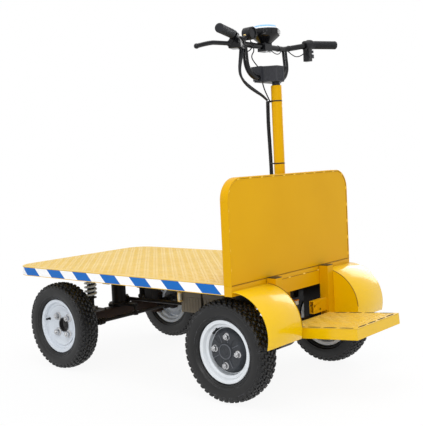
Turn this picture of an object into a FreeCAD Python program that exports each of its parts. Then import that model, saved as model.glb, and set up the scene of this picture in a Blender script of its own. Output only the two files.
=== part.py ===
"""Electric platform cart: deck, guard panel, steering column and stand-on platform on four wheels.

Millimetres. +X is the travel direction, +Y is left, +Z is up. The origin is on the ground,
midway between the two ends and the two sides.
"""

import FreeCAD, Part
import Sketcher
import math
import os
import re

SIZES = {
    # deck and frame
    "deck_length": 1300,        # rear face of the guard panel to the nose of the deck
    "deck_width": 800,
    "deck_top": 447,
    "deck_sheet": 3,
    "deck_corner": 100,
    "skirt_height": 40,
    "skirt_sheet": 3,
    "rail_size": 40,
    "rail_spacing": 450,
    "tube_wall": 2.5,
    "nose_beam_gap": 6,
    # guard panel
    "guard_depth": 35,
    "guard_base": 440,
    "guard_height": 384,
    "guard_corner": 80,
    "guard_bar": 5,
    "guard_sheet": 2,
    "rib_depth": 25,
    "rib_height": 6,
    "rib_low": 560,
    "rib_high": 740,
    # rear end
    "post_size": 40,
    "post_spacing": 354,
    "post_bottom": 215,
    "cap_height": 3,
    "cross_size": 26,
    "apron_sheet": 4,
    "apron_top": 424,
    "apron_bottom": 369,
    "stub_reach": 97,
    "stub_depth": 20,
    "stub_height": 50,
    "stub_bottom": 263,
    "stub_hole": 10,
    "hole_outer_reach": 87,
    "hole_outer_rise": 30,
    "hole_inner_reach": 49,
    "hole_inner_rise": 12,
    "fender_radius": 152,
    "fender_sheet": 3,
    "fender_drop": 41,
    # foot platform
    "platform_reach": 356,
    "platform_width": 312,
    "platform_top": 256,
    "platform_sheet": 3,
    "platform_bar": 38,
    "platform_wall": 3,
    "platform_tilt": 4.7,
    # batteries
    "battery_front_gap": 283,
    "battery_length": 109,
    "battery_gap": 10,
    "battery_width": 500,
    "battery_bottom": 291,
    "battery_height": 104,
    "battery_wall": 3,
    "lid_height": 42,
    "lid_lip": 2,
    "tray_sheet": 4,
    "tray_strap": 30,
    # steering column
    "column_gap": 3,            # between the guard panel's rim and the column
    "column_diameter": 42,
    "column_wall": 3,
    "column_top": 1167,
    "column_bottom": 300,
    "shaft_diameter": 30,
    "neck_diameter": 32,
    "head_diameter": 44,
    "head_bottom": 1180,
    "head_top": 1241,
    "clamp_sheet": 4,
    "clamp_height": 30,
    "stem_width": 40,
    "stem_height": 29,
    # linkage
    "crank_radius": 50,
    "steer_arm": 110,
    "link_diameter": 16,
    "eye_diameter": 26,
    "eye_height": 18,
    "pin_diameter": 12,
    "pitman_rise": 29,
    "plate_sheet": 12,
    "crank_gap": 6,
    "arm_below": 23,
    "pin_clearance": 1,
    "stack_gap": 0.5,
    # wheels
    "tyre_radius": 191,
    "tyre_width": 95,
    "tyre_wall": 9,
    "tyre_crown": 8,
    "rim_width": 63,
    "rim_sheet": 3,
    "flange_radius": 118,
    "bead_radius": 102,
    "well_radius": 90,
    "rear_disc_offset": 8,
    "front_disc_offset": -6,
    "disc_rise": 4,
    "disc_sheet": 4,
    "front_hub_recess": 8,
    "rear_axle_offset": 78,
    "wheelbase": 941,
    "rear_track": 670,
    "front_track": 702,
    "bearing_gap": 0.3,
    # rear axle
    "axle_diameter": 60,
    "gear_radius": 58,
    "gear_width": 90,
    "gear_side": 30,
    "motor_radius": 60,
    "motor_length": 165,
    "motor_ahead": 107,
    "hanger_sheet": 8,
    # front axle
    "kingpin_trail": 18,
    "kingpin_spacing": 540,
    "kingpin_diameter": 16,
    "barrel_diameter": 34,
    "lug_sheet": 12,
    "lug_below": 48,
    "lug_above": 46,
    "beam_size": 50,
    "seat_sheet": 6,
    "centre_post_diameter": 68,
    "centre_post_wall": 4,
    "spindle_diameter": 20,
    "shock_spacing": 328,
    "shock_ahead": 10,
    "spring_diameter": 60,
    "spring_wire": 8,
    "spring_turns": 7,
    "upright_size": 46,
    "upright_gap": 34,
    "stop_height": 14,
    # handlebar
    "bar_diameter": 22,
    "bar_level": 1321,
    "bar_ahead": 47,
    "riser_ahead": 36,
    "riser_level": 1197,
    "riser_half": 130,
    "riser_bend": 60,
    "grip_diameter": 34,
    "grip_length": 120,
    "hand_gap": 750,
    "hand_level": 1346,
    "hand_behind": 39,
    "sweep_half": 255,
    "sweep_level": 1343,
    "sweep_ahead": 3,
    "lever_reach": 20,
    "lever_ahead": 29,
    "lever_tip": 391,
    "switch_reach": 15,
    "pod_reach": 95,
    # lamp and meter
    "lamp_half": 66,
    "lamp_wall": 2,
    "lamp_bottom": 1180,
    "lamp_height": 61,
    "lamp_low_reach": 54.5,
    "lamp_high_reach": 75,
    "meter_radius": 58,
    "dial_radius": 49,
    "meter_bottom": 1342,
    "meter_rim": 1383,
    "dial_height": 20,
    # cables
    "cable_diameter": 9,
    "thin_cable": 5,
    "harness_diameter": 16,
    "harness_hole": 22,
    "harness_ahead": 21,
    "harness_side": 14,
}

PLACES = {
    "panel_x": "(platform_reach - deck_length) / 2",
    "panel_front": "panel_x + guard_depth",
    "nose_x": "panel_x + deck_length",
    "platform_rear": "panel_x - platform_reach",
    "frame_top": "deck_top - deck_sheet",
    "frame_bottom": "frame_top - rail_size",
    "deck_half": "deck_width / 2",
    "rail_y": "rail_spacing / 2",
    "column_x": "panel_front + column_gap + column_diameter / 2",
    "column_radius": "column_diameter / 2",
    "rear_x": "panel_x + rear_axle_offset",
    "front_x": "rear_x + wheelbase",
    "kingpin_x": "front_x + kingpin_trail",
    "kingpin_y": "kingpin_spacing / 2",
    "shock_x": "kingpin_x + shock_ahead",
    "shock_y": "shock_spacing / 2",
    "post_y": "post_spacing / 2",
    "post_front": "panel_x - apron_sheet",
    "post_rear": "post_front - post_size",
    "fender_inner": "post_y + post_size / 2",
    "fender_x": "panel_x - 2",
    "fender_z": "apron_top - fender_radius",
    "beam_bottom": "beam_top - beam_size",
    "beam_top": "tyre_radius + beam_size / 2 - 1",
    "seat_top": "beam_top + seat_sheet",
    "beam_half": "kingpin_y - 43",
    "battery_front": "panel_x + battery_front_gap",
    "battery_rear": "battery_front - battery_gap - battery_length",
    "bar_x": "column_x + bar_ahead",
    "riser_x": "column_x + riser_ahead",
    "hand_x": "column_x - hand_behind",
    "hand_y": "hand_gap / 2",
    "sweep_x": "column_x + sweep_ahead",
    "motor_x": "rear_x + motor_ahead",
    "lug_bottom": "tyre_radius - lug_below",
    "lug_top": "tyre_radius + lug_above",
    "arm_level": "tyre_radius - arm_below",
    "crank_level": "beam_top + crank_gap",
    "pitman_level": "crank_level + plate_sheet + pitman_rise",
}

doc = FreeCAD.newDocument("PlatformCart")
sheet = doc.addObject("Spreadsheet::Sheet", "Sizes")
for row, (alias, amount) in enumerate(SIZES.items(), start=1):
    sheet.set(f"A{row}", alias)
    sheet.set(f"B{row}", str(amount))
    sheet.setAlias(f"B{row}", alias)
doc.recompute()

nodes = []


def full(text):
    """Spell an expression out in cells of the sheet."""
    spelled = re.sub(r"[a-z][a-z_0-9]*", lambda word: f"({PLACES[word[0]]})" if word[0] in PLACES else word[0],
                     str(text))
    if spelled != str(text):
        return full(spelled)
    return re.sub(r"[a-z][a-z_0-9]*", lambda word: f"Sizes.{word[0]}" if word[0] in SIZES else word[0], spelled)


def number(text):
    """The present value of an expression."""
    return float(sheet.evalExpression(full(text)))


def point(x, y, z):
    return FreeCAD.Vector(number(x), number(y), number(z))


def bind(thing, **values):
    """Tie properties of an object to the sheet; a double underscore stands for a dot."""
    for name, text in values.items():
        thing.setExpression(name.replace("__", "."), full(text))


def place(thing, x, y, z):
    bind(thing, Placement__Base__x=x, Placement__Base__y=y, Placement__Base__z=z)


def node(label, thing):
    """Name a finished sub-part."""
    thing.Label = label
    nodes.append(thing)
    return thing


# --- primitives and booleans ---------------------------------------------------------------

def block(name, x, y, z, length, width, height):
    """A box from its lowest corner."""
    thing = doc.addObject("Part::Box", name)
    bind(thing, Length=length, Width=width, Height=height)
    place(thing, x, y, z)
    return thing


TURNS = {"x": FreeCAD.Rotation(FreeCAD.Vector(0, 1, 0), 90), "y": FreeCAD.Rotation(FreeCAD.Vector(1, 0, 0), -90),
         "z": FreeCAD.Rotation()}


def rod(name, along, x, y, z, radius, length):
    """A round bar along an axis, from the middle of its lower end."""
    thing = doc.addObject("Part::Cylinder", name)
    thing.Placement = FreeCAD.Placement(FreeCAD.Vector(), TURNS[along])
    bind(thing, Radius=radius, Height=length)
    place(thing, x, y, z)
    return thing


def fuse(name, *parts):
    thing = doc.addObject("Part::MultiFuse", name)
    thing.Shapes = list(parts)
    thing.Refine = True
    return thing


def cut(name, base, *tools):
    tool = tools[0] if len(tools) == 1 else fuse(name + "_tools", *tools)
    thing = doc.addObject("Part::Cut", name)
    thing.Base = base
    thing.Tool = tool
    return thing


def group(name, *parts):
    """Like pieces that do not touch, kept in one sub-part."""
    thing = doc.addObject("Part::Compound", name)
    thing.Links = list(parts)
    return thing


def tube(name, along, x, y, z, outer, inner, length):
    """A round tube from the middle of its lower end."""
    return cut(name, rod(name + "_outer", along, x, y, z, outer, length),
               rod(name + "_bore", along, x, y, z, inner, length))


def square_tube(name, along, x, y, z, length, width, height, wall):
    """A rectangular tube, open at both ends of its long axis."""
    inset = {"x": "0", "y": "0", "z": "0"}
    trim = {"x": "0", "y": "0", "z": "0"}
    for axis in inset:
        if axis != along:
            inset[axis] = wall
            trim[axis] = f"2 * ({wall})"
    outer = block(name + "_outer", x, y, z, length, width, height)
    inner = block(name + "_inner", f"{x} + {inset['x']}", f"{y} + {inset['y']}", f"{z} + {inset['z']}",
                  f"{length} - {trim['x']}", f"{width} - {trim['y']}", f"{height} - {trim['z']}")
    return cut(name, outer, inner)


# --- sketches and bodies -------------------------------------------------------------------

def body(name):
    return doc.addObject("PartDesign::Body", name)


def sketch(owner, name, role, offset="0"):
    """A sketch on one of the body's own origin planes, raised along the plane's normal."""
    face = owner.newObject("Sketcher::SketchObject", name)
    plane = [item for item in owner.Origin.OriginFeatures if item.Role == role][0]
    face.AttachmentSupport = (plane, "")
    face.MapMode = "FlatFace"
    bind(face, AttachmentOffset__Base__z=offset)
    return face


def outline(face, corners):
    """A closed loop. A corner is (x, y), or (x, y, radius) where an arc leads to the next corner.

    The arc turns left where the radius is given as it is, and right where a minus sign leads it.
    """
    flat = [FreeCAD.Vector(number(corner[0]), number(corner[1]), 0) for corner in corners]
    ends = []
    for index, corner in enumerate(corners):
        here, there = flat[index], flat[(index + 1) % len(flat)]
        if len(corner) == 2:
            edge = face.addGeometry(Part.LineSegment(here, there), False)
            ends.append((edge, 1, 2))
            continue
        left = not corner[2].startswith("-")
        radius = number(corner[2].lstrip("-"))
        chord = there.sub(here)
        reach = math.sqrt(max(radius ** 2 - (chord.Length / 2) ** 2, 0))
        side = FreeCAD.Vector(-chord.y, chord.x, 0).normalize() * (reach if left else -reach)
        centre = here + chord * 0.5 + side
        first, last = (here, there) if left else (there, here)
        angles = [math.atan2(spot.y - centre.y, spot.x - centre.x) for spot in (first, last)]
        if angles[1] < angles[0]:
            angles[1] += 2 * math.pi
        circle = Part.Circle(centre, FreeCAD.Vector(0, 0, 1), radius)
        edge = face.addGeometry(Part.ArcOfCircle(circle, angles[0], angles[1]), False)
        ends.append((edge, 1, 2) if left else (edge, 2, 1))
        rule = face.addConstraint(Sketcher.Constraint("Radius", edge, radius))
        face.setExpression(f"Constraints[{rule}]", full(corner[2].lstrip("-")))
    for index, corner in enumerate(corners):
        edge, start, end = ends[index]
        following = ends[(index + 1) % len(ends)]
        face.addConstraint(Sketcher.Constraint("Coincident", edge, end, following[0], following[1]))
        for kind, text, value in (("DistanceX", corner[0], flat[index].x), ("DistanceY", corner[1], flat[index].y)):
            rule = face.addConstraint(Sketcher.Constraint(kind, edge, start, value))
            face.setExpression(f"Constraints[{rule}]", full(text))


def ring(face, x, y, radius):
    """A circle in a sketch."""
    centre = FreeCAD.Vector(number(x), number(y), 0)
    edge = face.addGeometry(Part.Circle(centre, FreeCAD.Vector(0, 0, 1), number(radius)), False)
    for kind, text, value in (("DistanceX", x, centre.x), ("DistanceY", y, centre.y)):
        rule = face.addConstraint(Sketcher.Constraint(kind, edge, 3, value))
        face.setExpression(f"Constraints[{rule}]", full(text))
    rule = face.addConstraint(Sketcher.Constraint("Radius", edge, number(radius)))
    face.setExpression(f"Constraints[{rule}]", full(radius))


def pad(owner, name, face, length, reverse=False):
    thing = owner.newObject("PartDesign::Pad", name)
    thing.Profile = face
    thing.Reversed = reverse
    bind(thing, Length=length)
    face.Visibility = False
    return thing


def pocket(owner, name, face, length, reverse=False):
    """A pocket that is checked to take material away."""
    doc.recompute()
    before = owner.Shape.Volume
    thing = owner.newObject("PartDesign::Pocket", name)
    thing.Profile = face
    thing.Reversed = reverse
    bind(thing, Length=length)
    doc.recompute()
    if owner.Shape.Volume >= before:
        raise RuntimeError(f"{name} cuts nothing")
    return thing


def revolve(owner, name, face, turn="V_Axis"):
    """A full turn of a sketch about one of its own axes."""
    thing = owner.newObject("PartDesign::Revolution", name)
    thing.Profile = face
    thing.ReferenceAxis = (face, [turn])
    thing.Angle = 360
    return thing


def bent_path(points, radii):
    """Straight runs joined by tangent arcs; each inner point has its own radius."""
    edges = []
    start = points[0]
    for before, here, after, radius in zip(points, points[1:], points[2:], radii):
        back = (before - here).normalize()
        ahead = (after - here).normalize()
        turn = math.pi - back.getAngle(ahead)
        setback = radius * math.tan(turn / 2)
        entry = here + back * setback
        leave = here + ahead * setback
        bisector = (back + ahead).normalize()
        middle = here + bisector * (math.hypot(radius, setback) - radius)
        edges.append(Part.LineSegment(start, entry).toShape())
        edges.append(Part.Arc(entry, middle, leave).toShape())
        start = leave
    edges.append(Part.LineSegment(start, points[-1]).toShape())
    return Part.Wire(edges)


def swept(path, radius):
    """A round bar along a path."""
    first = path.Edges[0]
    start = first.valueAt(first.FirstParameter)
    heading = first.tangentAt(first.FirstParameter)
    profile = Part.Wire([Part.makeCircle(radius, start, heading)])
    return path.makePipeShell([profile], True, False)


def shaped(name, shape):
    thing = doc.addObject("Part::Feature", name)
    thing.Shape = shape
    return thing


# --- deck ----------------------------------------------------------------------------------

def deck_plate():
    owner = body("DeckPlate")
    face = sketch(owner, "DeckOutline", "XY_Plane", "frame_top")
    outline(face, [("panel_front", "-deck_half"), ("nose_x - deck_corner", "-deck_half", "deck_corner"),
                   ("nose_x", "-deck_half + deck_corner"), ("nose_x", "deck_half - deck_corner", "deck_corner"),
                   ("nose_x - deck_corner", "deck_half"), ("panel_front", "deck_half")])
    pad(owner, "DeckPad", face, "deck_sheet")
    hole = sketch(owner, "ColumnHole", "XY_Plane", "deck_top")
    ring(hole, "column_x", "0", "column_radius + 0.5")
    ring(hole, "column_x + column_radius + harness_ahead", "harness_side", "harness_hole / 2")
    pocket(owner, "ColumnCut", hole, "2 * deck_sheet")
    node("deck_plate", owner)


def deck_skirt():
    owner = body("DeckSkirt")
    face = sketch(owner, "SkirtOutline", "XY_Plane", "deck_top - skirt_height")
    inner = "deck_half - skirt_sheet"
    turn = "deck_corner - skirt_sheet"
    outline(face, [("panel_front", "-deck_half"), ("nose_x - deck_corner", "-deck_half", "deck_corner"),
                   ("nose_x", "-deck_half + deck_corner"), ("nose_x", "deck_half - deck_corner", "deck_corner"),
                   ("nose_x - deck_corner", "deck_half"), ("panel_front", "deck_half"),
                   ("panel_front", inner), ("nose_x - deck_corner", inner, f"-{turn}"),
                   ("nose_x - skirt_sheet", "deck_half - deck_corner"),
                   ("nose_x - skirt_sheet", "-deck_half + deck_corner", f"-{turn}"),
                   ("nose_x - deck_corner", f"-({inner})"), ("panel_front", f"-({inner})")])
    pad(owner, "SkirtPad", face, "skirt_height - deck_sheet")
    node("deck_skirt", owner)


def chassis_frame():
    """Rails, cross members and base beam of square tube, with the hangers of the rear axle."""
    outers, inners = [], []
    rail_length = "nose_x - skirt_sheet - nose_beam_gap - panel_front"
    for side, sign in (("Left", ""), ("Right", "-")):
        low = f"{sign}rail_y - rail_size / 2"
        outers.append(block("Rail" + side, "panel_front", low, "frame_bottom", rail_length, "rail_size", "rail_size"))
        inners.append(block("RailBore" + side, "panel_front + tube_wall", f"{low} + tube_wall",
                            "frame_bottom + tube_wall", f"{rail_length} - 2 * tube_wall",
                            "rail_size - 2 * tube_wall", "rail_size - 2 * tube_wall"))
    stations = {"Column": "column_x + column_radius", "Middle": "(battery_front + front_x) / 2",
                "Axle": "shock_x - rail_size / 2", "Nose": "nose_x - skirt_sheet - nose_beam_gap - rail_size"}
    for name, x in stations.items():
        half = "(deck_half - skirt_sheet)" if name in ("Middle", "Column") else "(rail_y + rail_size / 2)"
        outers.append(block("Cross" + name, x, f"-{half}", "frame_bottom", "rail_size", f"2 * {half}", "rail_size"))
        inners.append(block("CrossBore" + name, f"{x} + tube_wall", f"-{half} + tube_wall",
                            "frame_bottom + tube_wall", "rail_size - 2 * tube_wall",
                            f"2 * {half} - 2 * tube_wall", "rail_size - 2 * tube_wall"))
    outers.append(block("BaseBeam", "panel_x", "-deck_half", "frame_bottom", "guard_depth", "deck_width",
                        "guard_base - frame_bottom"))
    inners.append(block("BaseBore", "panel_x + tube_wall", "-deck_half + tube_wall", "frame_bottom + tube_wall",
                        "guard_depth - 2 * tube_wall", "deck_width - 2 * tube_wall",
                        "guard_base - frame_bottom - 2 * tube_wall"))
    for side, sign in (("Left", ""), ("Right", "-")):
        outers.append(block("Hanger" + side, "rear_x - axle_diameter * 0.75", f"{sign}rail_y - hanger_sheet / 2",
                            "tyre_radius", "axle_diameter * 1.5", "hanger_sheet", "frame_bottom - tyre_radius"))
        inners.append(rod("HangerBore" + side, "y", "rear_x", f"{sign}rail_y - hanger_sheet", "tyre_radius",
                          "axle_diameter / 2 + bearing_gap", "2 * hanger_sheet"))
    node("chassis_frame", cut("ChassisFrame", fuse("FrameOutside", *outers), *inners))


# --- guard panel ---------------------------------------------------------------------------

def guard_rim():
    """A flat bar bent round the sides and top of the guard."""
    owner = body("GuardRim")
    face = sketch(owner, "RimOutline", "YZ_Plane", "panel_x")
    top = "guard_base + guard_height"
    inner = "deck_half - guard_bar"
    turn = "guard_corner - guard_bar"
    outline(face, [("deck_half", "guard_base"), ("deck_half", f"{top} - guard_corner", "guard_corner"),
                   ("deck_half - guard_corner", top), ("-deck_half + guard_corner", top, "guard_corner"),
                   ("-deck_half", f"{top} - guard_corner"), ("-deck_half", "guard_base"),
                   (f"-({inner})", "guard_base"), (f"-({inner})", f"{top} - guard_corner", f"-{turn}"),
                   ("-deck_half + guard_corner", f"{top} - guard_bar"),
                   ("deck_half - guard_corner", f"{top} - guard_bar", f"-{turn}"),
                   (inner, f"{top} - guard_corner"), (inner, "guard_base")])
    pad(owner, "RimPad", face, "guard_depth")
    node("guard_rim", owner)


def guard_panel():
    """The sheet inside the rim, near its rear edge, with two stiffening ribs on its front."""
    owner = body("GuardPanel")
    face = sketch(owner, "PanelOutline", "YZ_Plane", "panel_x + guard_sheet")
    top = "guard_base + guard_height - guard_bar - bearing_gap"
    half = "deck_half - guard_bar - bearing_gap"
    turn = "guard_corner - guard_bar - bearing_gap"
    outline(face, [(half, "guard_base"), (half, f"{top} - ({turn})", turn), (f"{half} - ({turn})", top),
                   (f"-({half}) + ({turn})", top, turn), (f"-({half})", f"{top} - ({turn})"),
                   (f"-({half})", "guard_base")])
    pad(owner, "PanelPad", face, "guard_sheet")
    for name, level in (("RibLow", "rib_low"), ("RibHigh", "rib_high")):
        strip = sketch(owner, name, "YZ_Plane", "panel_x + 2 * guard_sheet")
        outline(strip, [(f"-({half})", level), (half, level), (half, f"{level} + rib_height"),
                        (f"-({half})", f"{level} + rib_height")])
        pad(owner, name + "Pad", strip, "rib_depth")
    node("guard_panel", owner)


# --- rear end ------------------------------------------------------------------------------

def rear_posts():
    """Two square posts, with a short rectangular tow stub on the right one."""
    parts, bores = [], []
    height = "guard_base - post_bottom + 3"
    for side, sign in (("Left", ""), ("Right", "-")):
        low = f"{sign}post_y - post_size / 2"
        parts.append(block("Post" + side, "post_rear", low, "post_bottom", "post_size", "post_size", height))
        bores.append(block("PostBore" + side, "post_rear + tube_wall", f"{low} + tube_wall", "post_bottom - 1",
                           "post_size - 2 * tube_wall", "post_size - 2 * tube_wall", f"{height} + 2"))
    inner = "-post_y + post_size / 2"
    stub_x = "post_rear + (post_size - stub_depth) / 2"
    stub = square_tube("TowStub", "y", stub_x, inner, "stub_bottom", "stub_depth", "stub_reach", "stub_height",
                       "tube_wall")
    holes = [rod("StubHoleOuter", "x", f"{stub_x} - 1", f"{inner} + hole_outer_reach",
                 "stub_bottom + hole_outer_rise", "stub_hole / 2", "stub_depth + 2"),
             rod("StubHoleInner", "x", f"{stub_x} - 1", f"{inner} + hole_inner_reach",
                 "stub_bottom + hole_inner_rise", "stub_hole / 2", "stub_depth + 2")]
    posts = cut("PostTubes", fuse("PostSolids", *parts), *bores)
    cross_lean = "(platform_top - post_bottom - 3 - cross_size) * tan(platform_tilt)"
    cross = square_tube("PostCross", "y", f"post_rear - {cross_lean} + bearing_gap", inner, "post_bottom + 3",
                        "cross_size",
                        "2 * post_y - post_size", "cross_size", "tube_wall")
    node("rear_posts", fuse("RearPosts", posts, cross, cut("StubDrilled", stub, *holes)))


def post_caps():
    caps = []
    for side, sign in (("Left", ""), ("Right", "-")):
        low = f"{sign}post_y - post_size / 2"
        head = block("CapHead" + side, "post_rear", low, "guard_base + 3", "post_size", "post_size", "cap_height")
        plug = block("CapPlug" + side, "post_rear + tube_wall + bearing_gap", f"{low} + tube_wall + bearing_gap",
                     "guard_base - 7", "post_size - 2 * tube_wall - 2 * bearing_gap",
                     "post_size - 2 * tube_wall - 2 * bearing_gap", "10")
        caps.append(fuse("Cap" + side, head, plug))
    node("post_caps", group("PostCaps", *caps))


def rear_apron():
    node("rear_apron", block("RearApron", "panel_x - apron_sheet", "-fender_inner", "apron_bottom", "apron_sheet",
                             "2 * fender_inner", "apron_top - apron_bottom"))


def fender(side, sign):
    """A rolled sheet over the rear of the tyre, with a flat plate closing its inner side."""
    owner = body("Fender" + side)
    inner = "fender_inner" if sign > 0 else "-deck_half"
    roll = sketch(owner, "Roll" + side, "XZ_Plane", f"-({inner}) - (deck_half - fender_inner)")
    low = "fender_z - fender_drop"
    wall = "fender_radius - fender_sheet"
    outer_end = "fender_x - sqrt(pow(fender_radius; 2) - pow(fender_drop; 2))"
    inner_end = f"fender_x - sqrt(pow({wall}; 2) - pow(fender_drop; 2))"
    shoulder = ("fender_x - fender_radius", "fender_z")
    outline(roll, [("panel_x - apron_sheet", "fender_z + sqrt(pow(fender_radius; 2) - pow(panel_x - apron_sheet"
                    " - fender_x; 2))", "fender_radius"),
                   (*shoulder, "fender_radius"), (outer_end, low), (inner_end, low, f"-({wall})"),
                   ("fender_x - fender_radius + fender_sheet", "fender_z", f"-({wall})"),
                   ("panel_x - apron_sheet", f"fender_z + sqrt(pow({wall}; 2) - pow(panel_x - apron_sheet"
                    " - fender_x; 2))")])
    pad(owner, "RollPad" + side, roll, "deck_half - fender_inner")
    plate_y = "fender_inner" if sign > 0 else "-fender_inner - fender_sheet"
    plate = sketch(owner, "Plate" + side, "XZ_Plane", f"-({plate_y}) - fender_sheet")
    outline(plate, [("panel_x - apron_sheet", "fender_z + sqrt(pow(fender_radius - fender_sheet / 2; 2)"
                     " - pow(panel_x - apron_sheet - fender_x; 2))", "fender_radius - fender_sheet / 2"),
                    ("fender_x - fender_radius + fender_sheet / 2", "fender_z", "fender_radius - fender_sheet / 2"),
                    ("fender_x - sqrt(pow(fender_radius - fender_sheet / 2; 2) - pow(fender_drop; 2))", low),
                    ("panel_x - apron_sheet", low)])
    pad(owner, "PlatePad" + side, plate, "fender_sheet")
    node("fender_" + side.lower(), owner)


def tilted(thing, label):
    """Hang a piece of the foot platform on its tilted front top edge."""
    thing.Placement = FreeCAD.Placement(FreeCAD.Vector(), FreeCAD.Rotation(FreeCAD.Vector(0, 1, 0), 1))
    bind(thing, Placement__Rotation__Angle="platform_tilt")
    place(thing, "post_rear", "0", "platform_top")
    node(label, thing)


def foot_platform():
    """Modelled level behind the origin, then hung at the posts, rising to the rear."""
    drop = "(platform_sheet + platform_bar) * sin(platform_tilt)"
    length = f"(platform_reach - (panel_x - post_rear) - {drop}) / cos(platform_tilt)"
    half = "platform_width / 2"
    frame = body("PlatformFrame")
    face = sketch(frame, "FrameOutline", "XY_Plane", "-platform_sheet - platform_bar")
    outline(face, [(f"-{length}", f"-{half}"), ("0", f"-{half}"), ("0", half), (f"-{length}", half)])
    pad(frame, "FramePad", face, "platform_bar")
    opening = sketch(frame, "FrameOpening", "XY_Plane", "-platform_sheet")
    wall = "platform_wall"
    middle = f"-{length} / 2"
    for start, end in ((f"-{length} + {wall}", f"{middle} - {wall} / 2"), (f"{middle} + {wall} / 2", f"-{wall}")):
        outline(opening, [(start, f"-{half} + {wall}"), (end, f"-{half} + {wall}"), (end, f"{half} - {wall}"),
                          (start, f"{half} - {wall}")])
    pocket(frame, "FrameHollow", opening, "platform_bar + 1")
    tilted(frame, "platform_frame")
    plate = body("PlatformPlate")
    face = sketch(plate, "PlateOutline", "XY_Plane", "-platform_sheet")
    outline(face, [(f"-{length}", f"-{half}"), ("0", f"-{half}"), ("0", half), (f"-{length}", half)])
    pad(plate, "PlatePad", face, "platform_sheet")
    tilted(plate, "platform_plate")


# --- batteries -----------------------------------------------------------------------------

def batteries():
    """Two closed cases with overhanging lids, their packs as plain blocks, and the tray below."""
    cases, packs = [], []
    low_y = "-battery_width / 2"
    for name, x in (("Front", "battery_front"), ("Rear", "battery_rear")):
        case = block("Case" + name, f"{x} + lid_lip", f"{low_y} + lid_lip", "battery_bottom",
                     "battery_length - 2 * lid_lip", "battery_width - 2 * lid_lip", "battery_height")
        lid = block("Lid" + name, x, low_y, "battery_bottom + battery_height - lid_height", "battery_length",
                    "battery_width", "lid_height")
        room = block("Room" + name, f"{x} + lid_lip + battery_wall", f"{low_y} + lid_lip + battery_wall",
                     "battery_bottom + battery_wall", "battery_length - 2 * lid_lip - 2 * battery_wall",
                     "battery_width - 2 * lid_lip - 2 * battery_wall", "battery_height - 2 * battery_wall")
        cases.append(cut("BatteryCase" + name, fuse("CaseAndLid" + name, case, lid), room))
        packs.append(block("Pack" + name, f"{x} + lid_lip + battery_wall + 1",
                           f"{low_y} + lid_lip + battery_wall + 1", "battery_bottom + battery_wall",
                           "battery_length - 2 * lid_lip - 2 * battery_wall - 2",
                           "battery_width - 2 * lid_lip - 2 * battery_wall - 2",
                           "battery_height - 2 * battery_wall - 6"))
    node("battery_cases", group("BatteryCases", *cases))
    node("battery_packs", group("BatteryPacks", *packs))
    span = "battery_front + battery_length - battery_rear"
    straps = []
    for side, sign in (("Left", ""), ("Right", "-")):
        low = f"{sign}rail_y - tray_strap / 2"
        straps.append(block("Runner" + side, "battery_rear - tray_sheet", low, "battery_bottom - tray_sheet",
                            f"{span} + 2 * tray_sheet", "tray_strap", "tray_sheet"))
        for end, x in (("Rear", "battery_rear - tray_sheet"), ("Front", "battery_front + battery_length")):
            straps.append(block("Strap" + side + end, x, low, "battery_bottom - tray_sheet", "tray_sheet",
                                "tray_strap", "frame_bottom - battery_bottom + tray_sheet"))
    straps.append(block("TrayCross", "battery_rear", "-rail_y", "battery_bottom - tray_sheet", "tray_strap",
                        "2 * rail_y", "tray_sheet"))
    straps.append(block("TrayCrossFront", "battery_front + battery_length - tray_strap", "-rail_y",
                        "battery_bottom - tray_sheet", "tray_strap", "2 * rail_y", "tray_sheet"))
    node("battery_tray", fuse("BatteryTray", *straps))


# --- steering column -----------------------------------------------------------------------

def steering_column():
    """The fixed outer tube, with its rim rolled over at the top."""
    owner = body("SteeringColumn")
    face = sketch(owner, "ColumnSection", "XZ_Plane")
    bore = "column_radius - column_wall"
    collar = "shaft_diameter / 2 + stack_gap"
    outline(face, [(bore, "column_bottom"), ("column_radius", "column_bottom"),
                   ("column_radius", "column_top - column_wall", "column_wall"), (bore, "column_top"),
                   (collar, "column_top"), (collar, "column_top - 2 * column_wall"),
                   (bore, "column_top - 2 * column_wall")])
    revolve(owner, "ColumnTurn", face)
    place(owner, "column_x", "0", "0")
    node("steering_column", owner)


def column_clamps():
    """Split clamps on the guard's ribs that hold the column tube."""
    clamps = []
    for name, level in (("Low", "rib_low"), ("High", "rib_high")):
        low = f"{level} + rib_height"
        foot = block("ClampFoot" + name, "panel_x + 2 * guard_sheet", "-column_radius - 12", low,
                     "column_x - panel_x - 2 * guard_sheet", "column_diameter + 24", "clamp_height")
        collar = rod("ClampCollar" + name, "z", "column_x", "0", low, "column_radius + clamp_sheet", "clamp_height")
        hollow = block("ClampHollow" + name, "panel_x + 2 * guard_sheet + clamp_sheet",
                       "-column_radius - 12 + clamp_sheet", f"{low} - 1",
                       "column_x - panel_x - column_radius - 2 * guard_sheet - 2 * clamp_sheet",
                       "column_diameter + 24 - 2 * clamp_sheet", "clamp_height + 2")
        bore = rod("ClampBore" + name, "z", "column_x", "0", f"{low} - 1", "column_radius + bearing_gap",
                   "clamp_height + 2")
        clamps.append(cut("Clamp" + name, fuse("ClampSolid" + name, foot, collar), hollow, bore))
    node("column_clamps", group("ColumnClamps", *clamps))


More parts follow.
